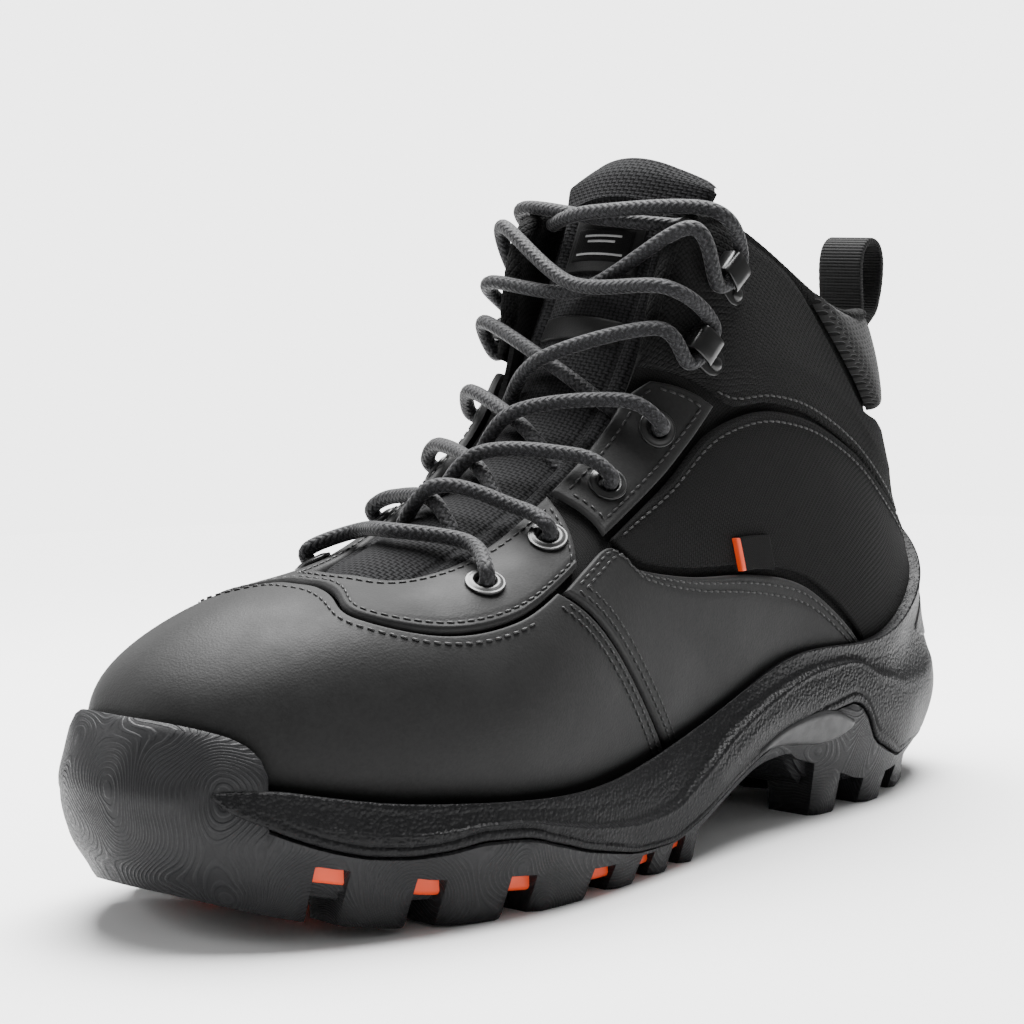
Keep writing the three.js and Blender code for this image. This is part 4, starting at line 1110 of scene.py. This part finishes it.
def bed_plate(name, low, high, crown, material):
    u = np.concatenate([[0.25], np.linspace(0.4, 9.55, 90), [9.7]])
    edge_out, edge_in = (on_upper(at, 0.02, np.full_like(u, -7.0)) for at in (u, ROUND - u))
    s = np.linspace(0, 1, 21)[:, None, None]
    grid = edge_in[None] * (1 - s) + edge_out[None] * s
    rim = np.minimum(np.minimum(s, 1 - s)[..., 0] * 14, 1)
    cup = crown * (1 - np.sin(np.pi * np.clip(s[..., 0], 0, 1)))
    top, under = grid.copy(), grid.copy()
    top[..., 2] += high + cup * rim
    under[..., 2] += low
    span = np.stack([grid[..., 1] / 1000, grid[..., 0] / 1000], -1)
    return write_mesh(name, *shell_parts(top, under, span), material)


finish_piece(bed_plate("footbed_cushion", 1.15, 5.15, 1.2, bed_cloth), "footbed_fabric", "footbed")
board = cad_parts["lasting_board"]
board.data.materials.clear()
board.data.materials.append(board_fibre)


# ---- Tongue -------------------------------------------------------------------------------------
def tongue_grid(t, s, lift):
    return on_tongue(t[:, None], s[None, :], lift)


def bump(across, at, width):
    """Smooth rise of 1 down both sides of the tongue, at a distance from its middle."""
    return np.exp(-(((abs(across) - at) / width) ** 2))


def padded_tongue():
    """Whole tongue with its padded top: woven middle, a soft roll down each side, thin borders."""
    t = np.linspace(0, 1, 300)
    s = np.sin(np.linspace(np.pi / 2, -np.pi / 2, 96) * 0.92) / math.sin(np.pi / 2 * 0.92)
    half = along(TONGUE, t)[:, 2][:, None]
    across = s[None] * half
    end = np.clip(np.minimum(t / 0.012, (1 - t) / 0.03), 0, 1)[:, None]
    head = np.clip((t - PARTING) / 0.06, 0, 1)[:, None]
    roll = 1.5 * bump(across, 18.5, 2.3) - 0.7 * bump(across, 15.2, 0.8) - 0.6 * bump(across, 21.8, 0.7)
    middle = 0.8 * (1 - np.clip(abs(across) / 15, 0, 1) ** 2)
    lift = (roll * (1 - head) + middle) * end * np.clip(t / 0.1, 0, 1)[:, None]
    lift += head * 1.2 * (1 - s[None] ** 2) * end
    lift -= 2.2 * (1 - np.sqrt(np.clip(end, 0, 1)))
    edge = np.clip((1 - abs(s[None])) * half / 2.5, 0, 1)
    lift -= 1.4 * (1 - np.sqrt(1 - (1 - edge) ** 2))
    thick = 6 * (1 - 0.45 * s[None] ** 4) + 1.6 * head
    outer = tongue_grid(t, s, lift)
    inner = tongue_grid(
        t, s, np.minimum(-thick * (0.35 + 0.65 * np.sqrt(end)) * (0.45 + 0.55 * edge), lift - 0.4)
    )
    length = arc(on_tongue(t, 0, 0))
    span = np.stack(np.broadcast_arrays(across, length[:, None]), -1) / 1000
    return write_mesh("tongue_padding", *shell_parts(outer, inner, span), tongue_cloth, sharp=60)


tongue = padded_tongue()
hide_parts("tongue", "tongue_flap")
hinge = (on_tongue(PARTING + 0.01, 0, -3) + CENTRE) / 1000
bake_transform(tongue)


def tongue_patch(name, t_from, t_to, s_half, lift, thick, material, corner=0.0):
    """Thin piece laid on the tongue between two heights, reaching s_half to each side."""
    t = np.linspace(t_from, t_to, 40)
    s = np.linspace(s_half, -s_half, 50)
    length = arc(on_tongue(t, 0, 0))
    across = s[None] * along(TONGUE, t)[:, 2][:, None]
    rim = np.minimum(np.minimum(length, length[-1] - length)[:, None], np.abs(across).max() - np.abs(across))
    down = thick * (1 - np.sqrt(1 - (1 - np.clip(rim / 0.8, 0, 1)) ** 2))
    middle = 0.8 * (1 - np.clip(abs(across) / 15, 0, 1) ** 2)
    outer = tongue_grid(t, s, middle + lift + thick - down)
    inner = tongue_grid(t, s, middle + lift - 0.3)
    span = np.stack(np.broadcast_arrays(across, length[:, None]), -1) / 1000
    return write_mesh(
        name,
        *shell_parts(outer, inner, span),
        material,
        {"rim": np.concatenate([rim.ravel(), np.zeros(rim.size)])},
    )


finish_piece(tongue_patch("tongue_keeper", 0.487, 0.515, 0.5, 0.1, 0.9, smooth_leather), "leather")
finish_piece(tongue_patch("tongue_label_base", 0.565, 0.66, 0.5, 0.1, 0.9, smooth_leather), "leather")
finish_piece(tongue_patch("tongue_label", 0.58, 0.635, 0.4, 0.95, 0.35, label_cloth), "tag_textile")
for k, (low, high, half) in enumerate([(0.618, 0.6225, 0.27), (0.608, 0.6125, 0.2), (0.588, 0.5915, 0.33)]):
    finish_piece(tongue_patch(f"label_bar_{k + 1}", low, high, half, 1.25, 0.16, print_grey), "tag_textile")


# ---- Metal: eyelets and speed hooks ---------------------------------------------------------------
def set_down(piece, origin, out, throat, run):
    """Moves a mesh made round the origin to its seat on the boot and leaves the object unturned."""
    axes = Matrix((Vector(run), Vector(throat), Vector(out))).transposed().to_4x4()
    piece.data.transform(Matrix.Translation(Vector((origin + CENTRE) / 1000)) @ axes)
    piece.matrix_world = Matrix.Identity(4)


def spin_ring(name, profile, material, steps=40):
    """Closed ring: a profile of (radius, height) in mm, spun a full turn and merged."""
    mesh = bpy.data.meshes.new(name)
    mesh.from_pydata(
        [(r / 1000, 0, h / 1000) for r, h in profile],
        [(k, (k + 1) % len(profile)) for k in range(len(profile))],
        [],
    )
    piece = bpy.data.objects.new(name, mesh)
    bpy.context.scene.collection.objects.link(piece)
    edit_mesh(
        piece,
        lambda: bpy.ops.mesh.spin(steps=steps, angle=2 * math.pi, center=(0, 0, 0), axis=(0, 0, 1)),
        lambda: bpy.ops.mesh.remove_doubles(threshold=1e-6),
        turn_out,
    )
    mesh.polygons.foreach_set("use_smooth", [True] * len(mesh.polygons))
    mesh.set_sharp_from_angle(angle=math.radians(50))
    mesh.materials.append(material)
    return piece


FLANGE = [
    (2.65, -6.0), (2.65, 0.5), (2.75, 0.95), (3.05, 1.3), (3.5, 1.42), (4.0, 1.3), (4.6, 1.0), (5.0, 0.85),
    (5.2, 0.9), (5.35, 0.8), (5.4, 0.5), (5.35, 0.1), (3.3, 0.1), (3.3, -5.7), (4.1, -5.7), (4.1, -6.0),
]
# Profile of the lip ring in lighter metal round each eyelet's hole: a painted highlight on the inner rim.
LIP_HIGHLIGHT = [
    (2.55, -1.2), (2.6, 0.35), (2.72, 0.85), (2.98, 1.28), (3.2, 1.42), (3.32, 1.46), (3.3, 1.36),
    (2.9, 0.9), (2.75, 0.3), (2.75, -1.2),
]


def hook_body(name):
    """Speed hook: a plate with a rounded tail, rolled over at the throat end into a channel."""
    outer = [(-11, 0.6), (2.4, 0.6), (3.4, 0.85), (4.0, 1.6), (4.15, 2.8), (4.1, 5.2), (3.8, 6.5), (3.0, 7.4),
             (1.8, 7.7), (-0.6, 7.5), (-2.6, 7.2), (-3.9, 6.8), (-4.7, 6.1)]
    inner = [(-4.0, 5.7), (-3.3, 6.1), (-2.3, 6.35), (-0.4, 6.6), (1.6, 6.75), (2.5, 6.4), (2.9, 5.6),
             (3.1, 4.6), (3.1, 2.8), (2.9, 2.0), (2.2, 1.6), (0.0, 1.5)]
    plate = [(-2.0, 1.5), (-5.0, 1.5), (-7.0, 1.5), (-8.4, 1.5), (-9.6, 1.5), (-10.4, 1.5), (-11, 1.5)]
    under = [(-10.4, 0.6), (-9.6, 0.6), (-8.4, 0.6), (-7.0, 0.6), (-4.0, 0.6)]
    outline = np.array(outer[:1] + under + outer[1:] + inner + plate)

    def reach(throat):
        tail = np.sqrt(np.clip(1 - ((-throat - 7) / 4.1) ** 2, 0.02, 1))
        return np.where(throat < -7, 4 * tail, 4.0)

    half = reach(outline[:, 0])
    sections = [-1, -0.97, -0.9, -0.5, 0, 0.5, 0.9, 0.97, 1]
    points = []
    for f in sections:
        shrink = 0.0 if abs(f) < 0.95 else (0.06 if abs(f) < 0.99 else 0.14)
        way = np.roll(outline, -1, 0) - np.roll(outline, 1, 0)
        inward = unit(np.stack([-way[:, 1], way[:, 0]], -1))
        ring = outline + inward * shrink
        points.append(np.stack([f * half, ring[:, 0], ring[:, 1]], -1))
    n = len(outline)
    corners, sizes = [], []
    for r in range(len(sections) - 1):
        for k in range(n):
            nxt = (k + 1) % n
            corners += [r * n + k, r * n + nxt, (r + 1) * n + nxt, (r + 1) * n + k]
            sizes.append(4)
    corners += list(range(n))[::-1] + [(len(sections) - 1) * n + k for k in range(n)]
    sizes += [n, n]
    points = np.concatenate(points) - CENTRE
    piece = write_mesh(
        name,
        points,
        np.array(corners),
        np.array(sizes),
        np.zeros((len(corners), 2)),
        satin_metal,
        sharp=35,
    )
    face_out(piece)
    return piece


for side, inner in (("outer", False), ("inner", True)):
    for k, (u, v) in enumerate(EYELETS):
        ring = spin_ring(f"eyelet_flange_{side}_{k + 1}", FLANGE, enamel)
        set_down(ring, *seat(station(u, inner), v))
        finish_piece(ring, "eyelet_metal", f"eyelet_{side}_{k + 1}")
        # Lip ring in lighter metal: a painted highlight on the eyelet's inner rim.
        lip = spin_ring(f"eyelet_lip_{side}_{k + 1}", LIP_HIGHLIGHT, lip_highlight_metal)
        set_down(lip, *seat(station(u, inner), v))
        finish_piece(lip, "eyelet_metal")
    for k, (u, v) in enumerate(HOOKS):
        hook = hook_body(f"speed_hook_{side}_{k + 1}")
        set_down(hook, *seat(station(u, inner), v))
        finish_piece(hook, "hook_metal", f"hook_{side}_{k + 1}")
        rivet = spin_ring(
            f"hook_rivet_{side}_{k + 1}",
            [(0.02, 1.2), (2.1, 1.2), (2.1, 1.6), (1.7, 2.1), (0.9, 2.4), (0.02, 2.45)],
            satin_metal,
            20,
        )
        rivet.data.transform(Matrix.Translation((0, -0.0082, 0)))
        set_down(rivet, *seat(station(u, inner), v))
        finish_piece(rivet, "hook_metal")


# ---- Pull loop, its anchor and the side tag -----------------------------------------------------
LOOP_PATH = [
    (139, 146), (138.6, 152), (138.8, 158), (140.5, 162.5), (144, 164.6), (147.8, 163),
    (149.6, 158.5), (149.2, 152), (147.6, 146),
]


def webbing_loop():
    foot = [tuple(on_upper(10.0, v, h)[1:]) for v, h in ((0.9, 5.2), (0.96, 5.25), (0.96, 7.2), (0.88, 7.1))]
    line = along([*foot[:2], (139.0, 142.5), *LOOP_PATH, (145.6, 142.2), *foot[2:]], np.linspace(0, 1, 130))
    way = unit(np.gradient(line, axis=0))
    side = np.stack([-way[:, 1], way[:, 0]], -1)
    s = np.concatenate([[-8, -7.9, -7.6], np.linspace(-7, 7, 22), [7.6, 7.9, 8]])
    round_off = 0.35 * (1 - np.sqrt(1 - np.clip(1 - (8 - abs(s)) / 0.8, 0, 1) ** 2))
    ribs = 0.07 * np.sin(arc(line) * 2 * np.pi / 0.95)

    def face(lift):
        offset = line[:, None] + side[:, None] * lift[..., None]
        return np.stack([np.broadcast_to(s[None], lift.shape), offset[..., 0], offset[..., 1]], -1)

    thick = (0.9 - round_off)[None] + ribs[:, None]
    span = np.stack(np.broadcast_arrays(s[None], arc(line)[:, None]), -1) / 1000
    return write_mesh("pull_loop_webbing", *shell_parts(face(thick), face(-thick), span), webbing, sharp=60)


loop = webbing_loop()
face_out(loop)
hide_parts("pull_loop")
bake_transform(loop)
anchor = Panel(level(9.66, 10.34, 0.73), level(9.66, 10.34, 0.985), (COLLAR[1] + 0.35, COLLAR[1] + 1.75), 1.0)
finish_piece(anchor.build("loop_anchor_webbing", webbing, anchor.rounded(0.8, 0.7)), "webbing", "loop_anchor")
finish_piece(
    sew(
        "anchor_stitching",
        [(anchor.seam(e, 1.8), COLLAR[1] + 1.8) for e in ("start", "end", "low", "high")],
        thread,
    ),
    "webbing",
)

tag = Panel(
    [(5.55, 0.45), (5.75, 0.437), (5.95, 0.42)],
    [(5.55, 0.515), (5.75, 0.5), (5.95, 0.485)],
    (-0.6, 0.9),
    0.8,
)
finish_piece(tag.build("side_tag_cloth", label_cloth, tag.rounded(0.6, 0.5)), "tag_textile", "side_tag")
tag_bar = Panel([(5.53, 0.452), (5.575, 0.449)], [(5.53, 0.517), (5.575, 0.513)], (-0.5, 1.35), 0.5)
finish_piece(tag_bar.build("side_tag_edge", orange_rubber, tag_bar.rounded(0.5, 0.5)), "tag_textile")


# ---- Sole unit ----------------------------------------------------------------------------------
# Lugs are (front, back) along the boot, the lines (y, z), and the edges (station, height on the wall).
FORE_LUGS = [(-128, -121), (-114, -99), (-91.5, -73.5), (-65.5, -44.5), (-35.5, -23), (-17, -7), (-1, 6.5)]
HEEL_LUGS = [(68, 80), (91, 103), (113, 129)]
SHEET = 2.6  # rubber left over the hollow between the lugs
GROUND_LINE = [
    (-160, 17), (-140, 11), (-120, 5), (-100, 1.5), (-80, 0), (8, 0), (20, 9), (60, 12), (66, 0),
    (136, 0), (146, 2), (160, 8),
]
BED_LINE = [
    (-160, 22), (-140, 16), (-120, 11), (-100, 8), (-80, 6.5), (-5, 6.5), (8, 9), (20, 14),
    (40, 20), (58, 21), (66, 9), (74, 7), (140, 7), (160, 12),
]
GAP_TOP = [
    (-160, 30), (-140, 25), (-120, 20.5), (-95, 13.8), (-70, 11), (-40, 7.8), (-20, 7.4), (-3, 8.2),
    (8, 9.5), (20, 14.5), (40, 20.5), (58, 21.5), (66, 9.5), (74, 8), (140, 8), (160, 13),
]
MIDSOLE_LINE = [
    (-126, 31), (-118, 25), (-102, 23), (-84, 23), (-69, 21), (-48, 14), (-27, 9), (-8, 8), (7, 12),
    (23, 18), (44, 25), (65, 31), (81, 33), (88, 29), (92, 20), (110, 12), (146, 13), (170, 14),
]
FRONT_EDGE = [
    (1.0, 0.63), (1.1, 0.585), (1.2, 0.56), (1.37, 0.54), (1.54, 0.51), (1.78, 0.475), (2.0, 0.455),
    (2.25, 0.46), (2.45, 0.49), (2.65, 0.55), (3.1, 0.56),
]
PARTING_TOP = [
    (0, 1), (1.0, 1), (1.13, 0.975), (1.24, 0.93), (1.3, 0.885), (1.34, 0.83), (1.36, 0.77), (1.365, 0.55)
]


def level_at(table, y):
    return np.interp(y, *np.array(table, float).T)


def smooth_level(table, y):
    ys, zs = np.array(table, float).T
    fine = np.linspace(ys[0], ys[-1], 600)
    soft = np.interp(fine, ys, zs)
    kernel = np.hanning(25)
    padded = np.concatenate([np.full(12, soft[0]), soft, np.full(12, soft[-1])])
    return np.interp(y, fine, np.convolve(padded, kernel / kernel.sum(), "valid"))


def along_table(table, at):
    """Smooth value from a table of (place, value)."""
    x, v = np.array(table, float).T
    fine = np.linspace(x[0], x[-1], 200)
    soft = np.interp(fine, x, v)
    padded = np.concatenate([np.full(5, soft[0]), soft, np.full(5, soft[-1])])
    return np.interp(at, fine, np.convolve(padded, np.hanning(11) / np.hanning(11).sum(), "valid"))


def height_on_wall(u, level):
    """Height w on the wall where its z meets a level given for each station."""
    w = np.linspace(0, 0.95, 240)
    z = wall(u[:, None], w[None])[..., 2]
    found = np.argmin(np.abs(z - level[:, None]), 1)
    return w[found]


def midsole_edge(u):
    """Lower edge of the foam on the wall for stations of one half."""
    y = wall(u, 0.35)[..., 1]
    solved = height_on_wall(u, smooth_level(MIDSOLE_LINE, y))
    front = along_table(FRONT_EDGE, u)
    share = np.clip((u - 2.7) / 0.4, 0, 1)
    return front * (1 - share) + solved * share


def outsole_top(u):
    return np.where(u < 1.365, np.interp(u, *np.array(PARTING_TOP).T), midsole_edge(u) - 0.012)


def station_at(y):
    """Station on the outer half where the tread edge passes a given y."""
    u = np.linspace(0, 10, 2001)
    return np.interp(y, wall(u, 0.1)[:, 1], u)


def in_lug(y):
    return y < FORE_LUGS[0][1] or any(a <= y <= b for a, b in FORE_LUGS + HEEL_LUGS)


def lug_columns():
    """Stations of one half, close together beside every edge of a lug."""
    marks = [0.0]
    for a, b in FORE_LUGS + HEEL_LUGS:
        for y, s in ((a, 1), (b, -1))[a < -125:]:
            marks += [y - 0.6 * s, y - 0.04 * s, y + 0.04 * s, y + 0.45 * s, y + 1.3 * s, y + 3.2 * s]
    lug_stations = station_at(np.array(marks[1:]))
    plain = np.linspace(0, 10, 150)
    keep = [p for p in plain if np.abs(lug_stations - p).min() > 0.035]
    u = np.sort(np.concatenate([lug_stations, keep]))
    u = u[(u >= 0) & (u <= 10)]
    u[0], u[-1] = 0, 10
    return u


def tread_rows(u, raised):
    """Outer and inner rows of the outsole for stations of one half."""
    top = outsole_top(u)
    y0 = wall(u, 0.1)[..., 1]
    gap = smooth_level(GAP_TOP, y0)
    gap_w = np.minimum(height_on_wall(u, gap), top - 0.05)
    rows, backs = [], []
    centre = np.stack([toe_lean(np.clip(y0, -112, 118)), np.clip(y0, -112, 118), np.zeros_like(y0)], -1)
    f = np.linspace(0, 1, 16)
    for k, g in enumerate(f):
        w = top * (1 - g) + gap_w * g
        under = np.interp(u, [0.0, 0.8, 1.0, 1.13, 1.3, 1.36], [0.5, 0.52, 0.66, 0.71, 0.755, 0.765])
        cap = np.clip((w - under) / 0.07, 0, 1) * np.clip((1.37 - u) / 0.05, 0, 1)
        lift = np.where(k == 0, -0.2, 0.35 + 0.9 * np.sqrt(cap) * np.clip(k / 3, 0, 1))
        rows.append(on_wall(u, w, lift))
        backs.append(on_wall(u, w, np.full_like(w, -3.2)))
    start = on_wall(u, gap_w, np.full_like(u, 0.45))
    flat = centre - start
    flat[:, 2] = 0
    reach = np.linalg.norm(flat, axis=1, keepdims=True)
    inward = flat / reach
    reach = reach[:, 0]
    bed = smooth_level(BED_LINE, start[:, 1])
    ground = level_at(GROUND_LINE, y0)
    deep = np.clip(reach - 14, 6, 17)
    edge = np.abs(np.array(FORE_LUGS + HEEL_LUGS).ravel()[None, 1:] - y0[:, None]).min(1)
    corner = np.clip(1 - edge / 3.4, 0, 1) ** 1.5 * 2.2

    def place(distance, z):
        at = start + inward * distance[:, None]
        at[:, 2] = z
        return at

    for g in np.linspace(0, 1, 9)[1:]:
        z_lug = start[:, 2] * (1 - g) + ground * g
        low = on_wall(u, gap_w * (1 - g), np.full_like(u, 0.45))
        toe_in = np.maximum(np.sum((low - start) * inward, 1), 0)
        d_lug = toe_in * 0.8 + g * corner + (0.5 if g == 1 else 0.0) + 0.4 * g
        d_gap = np.minimum(6.5 * g, reach * 0.6)
        ease = np.clip((d_gap - 3.4) / 2.4, 0, 1)
        z_gap = start[:, 2] * (1 - ease) + bed * ease
        z = np.where(raised, z_lug, z_gap)
        d = np.where(raised, d_lug, d_gap)
        rows.append(place(d, z))
        backs.append(place(np.full_like(d, 3.2 + g), np.maximum(bed + SHEET, 0)))
    foot_start = np.where(raised, np.sum((rows[-1] - start) * inward, 1), np.minimum(6.5, reach * 0.6))
    for g in np.linspace(0, 1, 7)[1:]:
        d = foot_start * (1 - g) + np.where(raised, deep, np.maximum(deep, foot_start)) * g
        rows.append(place(d, np.where(raised, ground, bed)))
        backs.append(place(np.maximum(d, 4.2), bed + SHEET))
    d = np.where(raised, deep, np.maximum(deep, foot_start))
    for g in (0.5, 1.0):
        rows.append(place(d + 0.4 * g, np.where(raised, ground * (1 - g) + bed * g, bed)))
        backs.append(place(np.maximum(d, 4.2) + 0.2 * g, bed + SHEET))
    d = d + 0.4
    for g in np.linspace(0, 1, 6)[1:]:
        at = d * (1 - g) + reach * g
        z = bed * (1 - g) + smooth_level(BED_LINE, centre[:, 1]) * g
        rows.append(place(at, z))
        backs.append(place(at, z + SHEET))
    return np.stack(rows, 1), np.stack(backs, 1)


def mirror_half(points):
    """Inner half of the ring from the outer half, turned about the leaned middle line."""
    other = points[1:-1][::-1].copy()
    lean = toe_lean(other[..., 1])
    other[..., 0] = 2 * lean - other[..., 0]
    return np.concatenate([points, other])


def outsole_mesh():
    u = lug_columns()
    y = wall(u, 0.1)[:, 1]
    raised = np.array([in_lug(v) for v in y])
    outer, inner = tread_rows(u, raised)
    outer, inner = mirror_half(outer), mirror_half(inner)
    cols, rows = outer.shape[:2]
    run = np.concatenate([arc(outer[:, 0]), [arc(outer[:, 0])[-1] + 1]])
    down = np.arange(rows)
    span = np.stack(np.broadcast_arrays(run[:, None], down[None]), -1) / 1000
    points, corners, sizes, uv = shell_parts(outer, inner, span, ring=True, open_end=True)
    piece = write_mesh("outsole_tread", points, corners, sizes, uv, wall_rubber, sharp=38)
    merge_close(piece, 2e-5)
    return piece


def lug_block(outline):
    """Closed block under an outline of (x, y), standing from the ground to above the bed."""
    pts = np.array(outline, float)
    mid = pts.mean(0)
    rows = []
    for grow, at in ((0.0, "bed"), (0.0, "mid"), (-0.2, "near"), (-0.9, "foot")):
        ring = pts + unit(pts - mid) * grow
        bed, ground = smooth_level(BED_LINE, ring[:, 1]), level_at(GROUND_LINE, ring[:, 1])
        z = {"bed": bed + 1.5, "mid": ground + 3, "near": ground + 0.8, "foot": ground}[at]
        rows.append(np.column_stack([ring, z]))
    return np.array(rows)


def centre_lugs():
    points, corners, sizes = [], [], []
    for a, b in (FORE_LUGS + HEEL_LUGS)[1:]:
        y = (a + b) / 2 + 4
        x = float(toe_lean(y))
        block = lug_block([(x - 8, y - 11), (x, y - 14), (x + 8, y - 11), (x + 6, y - 4), (x - 6, y - 4)])
        base, n = sum(len(p) for p in points), block.shape[1]
        points.append(block.reshape(-1, 3))
        for r in range(3):
            for k in range(n):
                m = (k + 1) % n
                row, above = base + r * n, base + (r + 1) * n
                corners += [row + k, row + m, above + m, above + k]
                sizes.append(4)
        corners += [base + k for k in reversed(range(n))] + [base + 3 * n + k for k in range(n)]
        sizes += [n, n]
    return write_mesh("centre_tread_lugs", np.concatenate(points), np.array(corners), np.array(sizes),
                      np.zeros((len(corners), 2)), wall_rubber)


def strip(low, high, layer, size=1.2):
    return Panel(low, high, layer, size, surface=on_wall)


def half_line(us, ws):
    return [(float(u), float(w)) for u, w in zip(us, ws)]


outsole = outsole_mesh()
finish_piece(outsole, "outsole_rubber", "outsole")
tread_lugs = centre_lugs()
face_out(tread_lugs)
finish_piece(tread_lugs, "outsole_rubber")


# ---- Midsole, patches, pods and the orange insert ------------------------------------------------
MID_START = 1.0
TOP_EDGE = [
    (1.0, 0.645), (1.13, 0.69), (1.46, 0.77), (1.9, 0.815), (2.47, 0.85), (3.07, 0.87),
    (3.87, 0.92), (4.6, 0.965), (5.3, 1.0), (10, 1.0),
]
mid_u = np.linspace(MID_START, ROUND - MID_START, 240)
mid_half = np.minimum(mid_u, ROUND - mid_u)
low_w = midsole_edge(mid_half)
high_w = along_table(TOP_EDGE, mid_half)
midsole = strip(half_line(mid_u, low_w), half_line(mid_u, high_w), (-5.0, 0.9), 1.3)


def midsole_lift(panel):
    """Foam's outer face: proud over the toe cup, with a swept ridge and a dished side above it."""
    u, w = np.moveaxis(panel.uv, -1, 0)
    half = np.minimum(u, ROUND - u)
    t = panel.rows / panel.width[:, None]
    proud = 0.75 + 0.5 * np.clip(1.6 - half, 0, 0.5) / 0.5
    near = np.clip(panel.rim / 1.3, 0, 1)
    lift = proud - 1.0 * (1 - np.sqrt(1 - (1 - near) ** 2))
    ridge_at = np.interp(
        half,
        [1.0, 2.0, 3.0, 4.2, 5.2, 6.2, 7.2, 8.2, 10],
        [0.45, 0.42, 0.4, 0.46, 0.6, 0.66, 0.6, 0.52, 0.5],
    )
    strength = np.interp(half, [1.2, 2.2, 3.5, 5, 7, 8, 10], [0, 0.3, 0.9, 1, 0.9, 0.5, 0.3])
    above = 1 / (1 + np.exp(-(t - ridge_at) / 0.022))
    lift = lift - strength * (1.5 * above * np.clip((1 - t) / 0.25, 0, 1))
    lift += strength * 0.5 * np.exp(-(((t - ridge_at + 0.04) / 0.035) ** 2))
    groove = np.exp(-(((panel.rows - 2.6) / 0.5) ** 2)) * np.interp(half, [1.3, 2, 9, 10], [0, 0.5, 0.5, 0.5])
    return lift - groove


near_toe = np.minimum(midsole.uv[..., 0], ROUND - midsole.uv[..., 0])
ledge = np.interp(near_toe, [1.0, 1.3, 4.0, 5.3], [-6.0, -9.0, -8.0, -5.0])
midsole_piece = midsole.build("midsole_foam", foam, midsole_lift(midsole), sharp=50, depth=ledge)
finish_piece(midsole_piece, "midsole_foam", "midsole")

for side in ("outer", "inner"):
    def hand(points):
        return points if side == "outer" else [(ROUND - u, w) for u, w in reversed(points)]

    patch = strip(
        hand([(8.35, 0.77), (8.6, 0.7), (9.0, 0.66), (9.5, 0.64)]),
        hand([(8.35, 0.8), (8.6, 0.83), (9.0, 0.83), (9.5, 0.78)]),
        (-2.0, 0.6),
        1.0,
    )
    finish_piece(patch.build(f"heel_patch_{side}", wall_rubber, patch.rounded(1.0, 0.9)), "outsole_rubber")
    pod = strip(
        hand([(5.55, 0.3), (5.95, 0.2), (6.35, 0.22), (6.62, 0.4)]),
        hand([(5.58, 0.34), (5.95, 0.42), (6.35, 0.5), (6.66, 0.45)]),
        (0.2, 1.9),
        0.8,
    )
    finish_piece(
        pod.build(f"arch_pod_cover_{side}", smooth_rubber, pod.rounded(2.2, 1.6)),
        "outsole_rubber",
        f"arch_pod_{side}",
    )


def insert_windows():
    """Bright blocks that show in the gaps between the forefoot lugs."""
    ends = [(FORE_LUGS[k][1], FORE_LUGS[k + 1][0]) for k in range(len(FORE_LUGS) - 1)]
    made = []
    for side in (1, -1):
        for k, (a, b) in enumerate(ends):
            ys = np.linspace(a - 1.5, b + 1.5, 12)
            u = station_at(ys)
            rim = wall(u, np.minimum(height_on_wall(u, smooth_level(GAP_TOP, ys)), 0.4))
            c = np.stack([toe_lean(ys), ys, 0 * ys], -1)
            inward = c - rim
            inward[:, 2] = 0
            reach = np.linalg.norm(inward, axis=1, keepdims=True)
            inward /= reach
            gap = smooth_level(GAP_TOP, ys)
            drop = 4.6 if gap.mean() > 9 else 4.0
            section = [
                (2.6, 0.2), (2.6, -drop + 1.2), (3.0, -drop + 0.4), (3.8, -drop), (5.2, -drop), (5.2, 0.2)
            ]
            rows = []
            for d, z in section:
                p = rim + inward * d
                p[:, 2] = np.maximum(gap + z, level_at(GROUND_LINE, ys) + 1.4)
                rows.append(p)
            grid = np.stack(rows, 1)
            if side < 0:
                grid[..., 0] = 2 * toe_lean(grid[..., 1]) - grid[..., 0]
            made.append((grid, side))
    return made


def insert_mesh():
    points, corners, sizes = [], [], []
    base = 0
    for grid, side in insert_windows():
        cols, n = grid.shape[:2]
        points.append(grid.reshape(-1, 3))
        for c in range(cols - 1):
            for k in range(n):
                m = (k + 1) % n
                quad = [base + c * n + k, base + (c + 1) * n + k, base + (c + 1) * n + m, base + c * n + m]
                corners += quad
                sizes.append(4)
        corners += [base + k for k in range(n)]
        corners += [base + (cols - 1) * n + k for k in reversed(range(n))]
        sizes += [n, n]
        base += cols * n
    piece = write_mesh("tread_insert_blocks", np.concatenate(points), np.array(corners), np.array(sizes),
                       np.zeros((len(corners), 2)), orange_rubber, sharp=50)
    face_out(piece)
    return piece


def insert_sheet():
    """Thin sheet over the forefoot bed between the lugs."""
    ys = np.linspace(-112, 0, 60)
    u = station_at(ys)
    rim = wall(u, 0.12)
    half = rim[:, 0] - toe_lean(ys) - 17.5
    across = np.linspace(1, -1, 30)
    x = toe_lean(ys)[:, None] + across[None] * half[:, None]
    y = np.broadcast_to(ys[:, None], x.shape)
    z = np.broadcast_to(smooth_level(BED_LINE, ys)[:, None], x.shape)
    span = np.stack([x, y], -1) / 1000
    top, under = np.stack([x, y, z + 0.6], -1), np.stack([x, y, z - 0.9], -1)
    return write_mesh("tread_insert_sheet", *shell_parts(under, top, span), orange_rubber)


finish_piece(insert_mesh(), "orange_rubber", "tread_insert")
insert = insert_sheet()
face_out(insert)
finish_piece(insert, "orange_rubber")
face_out(outsole)
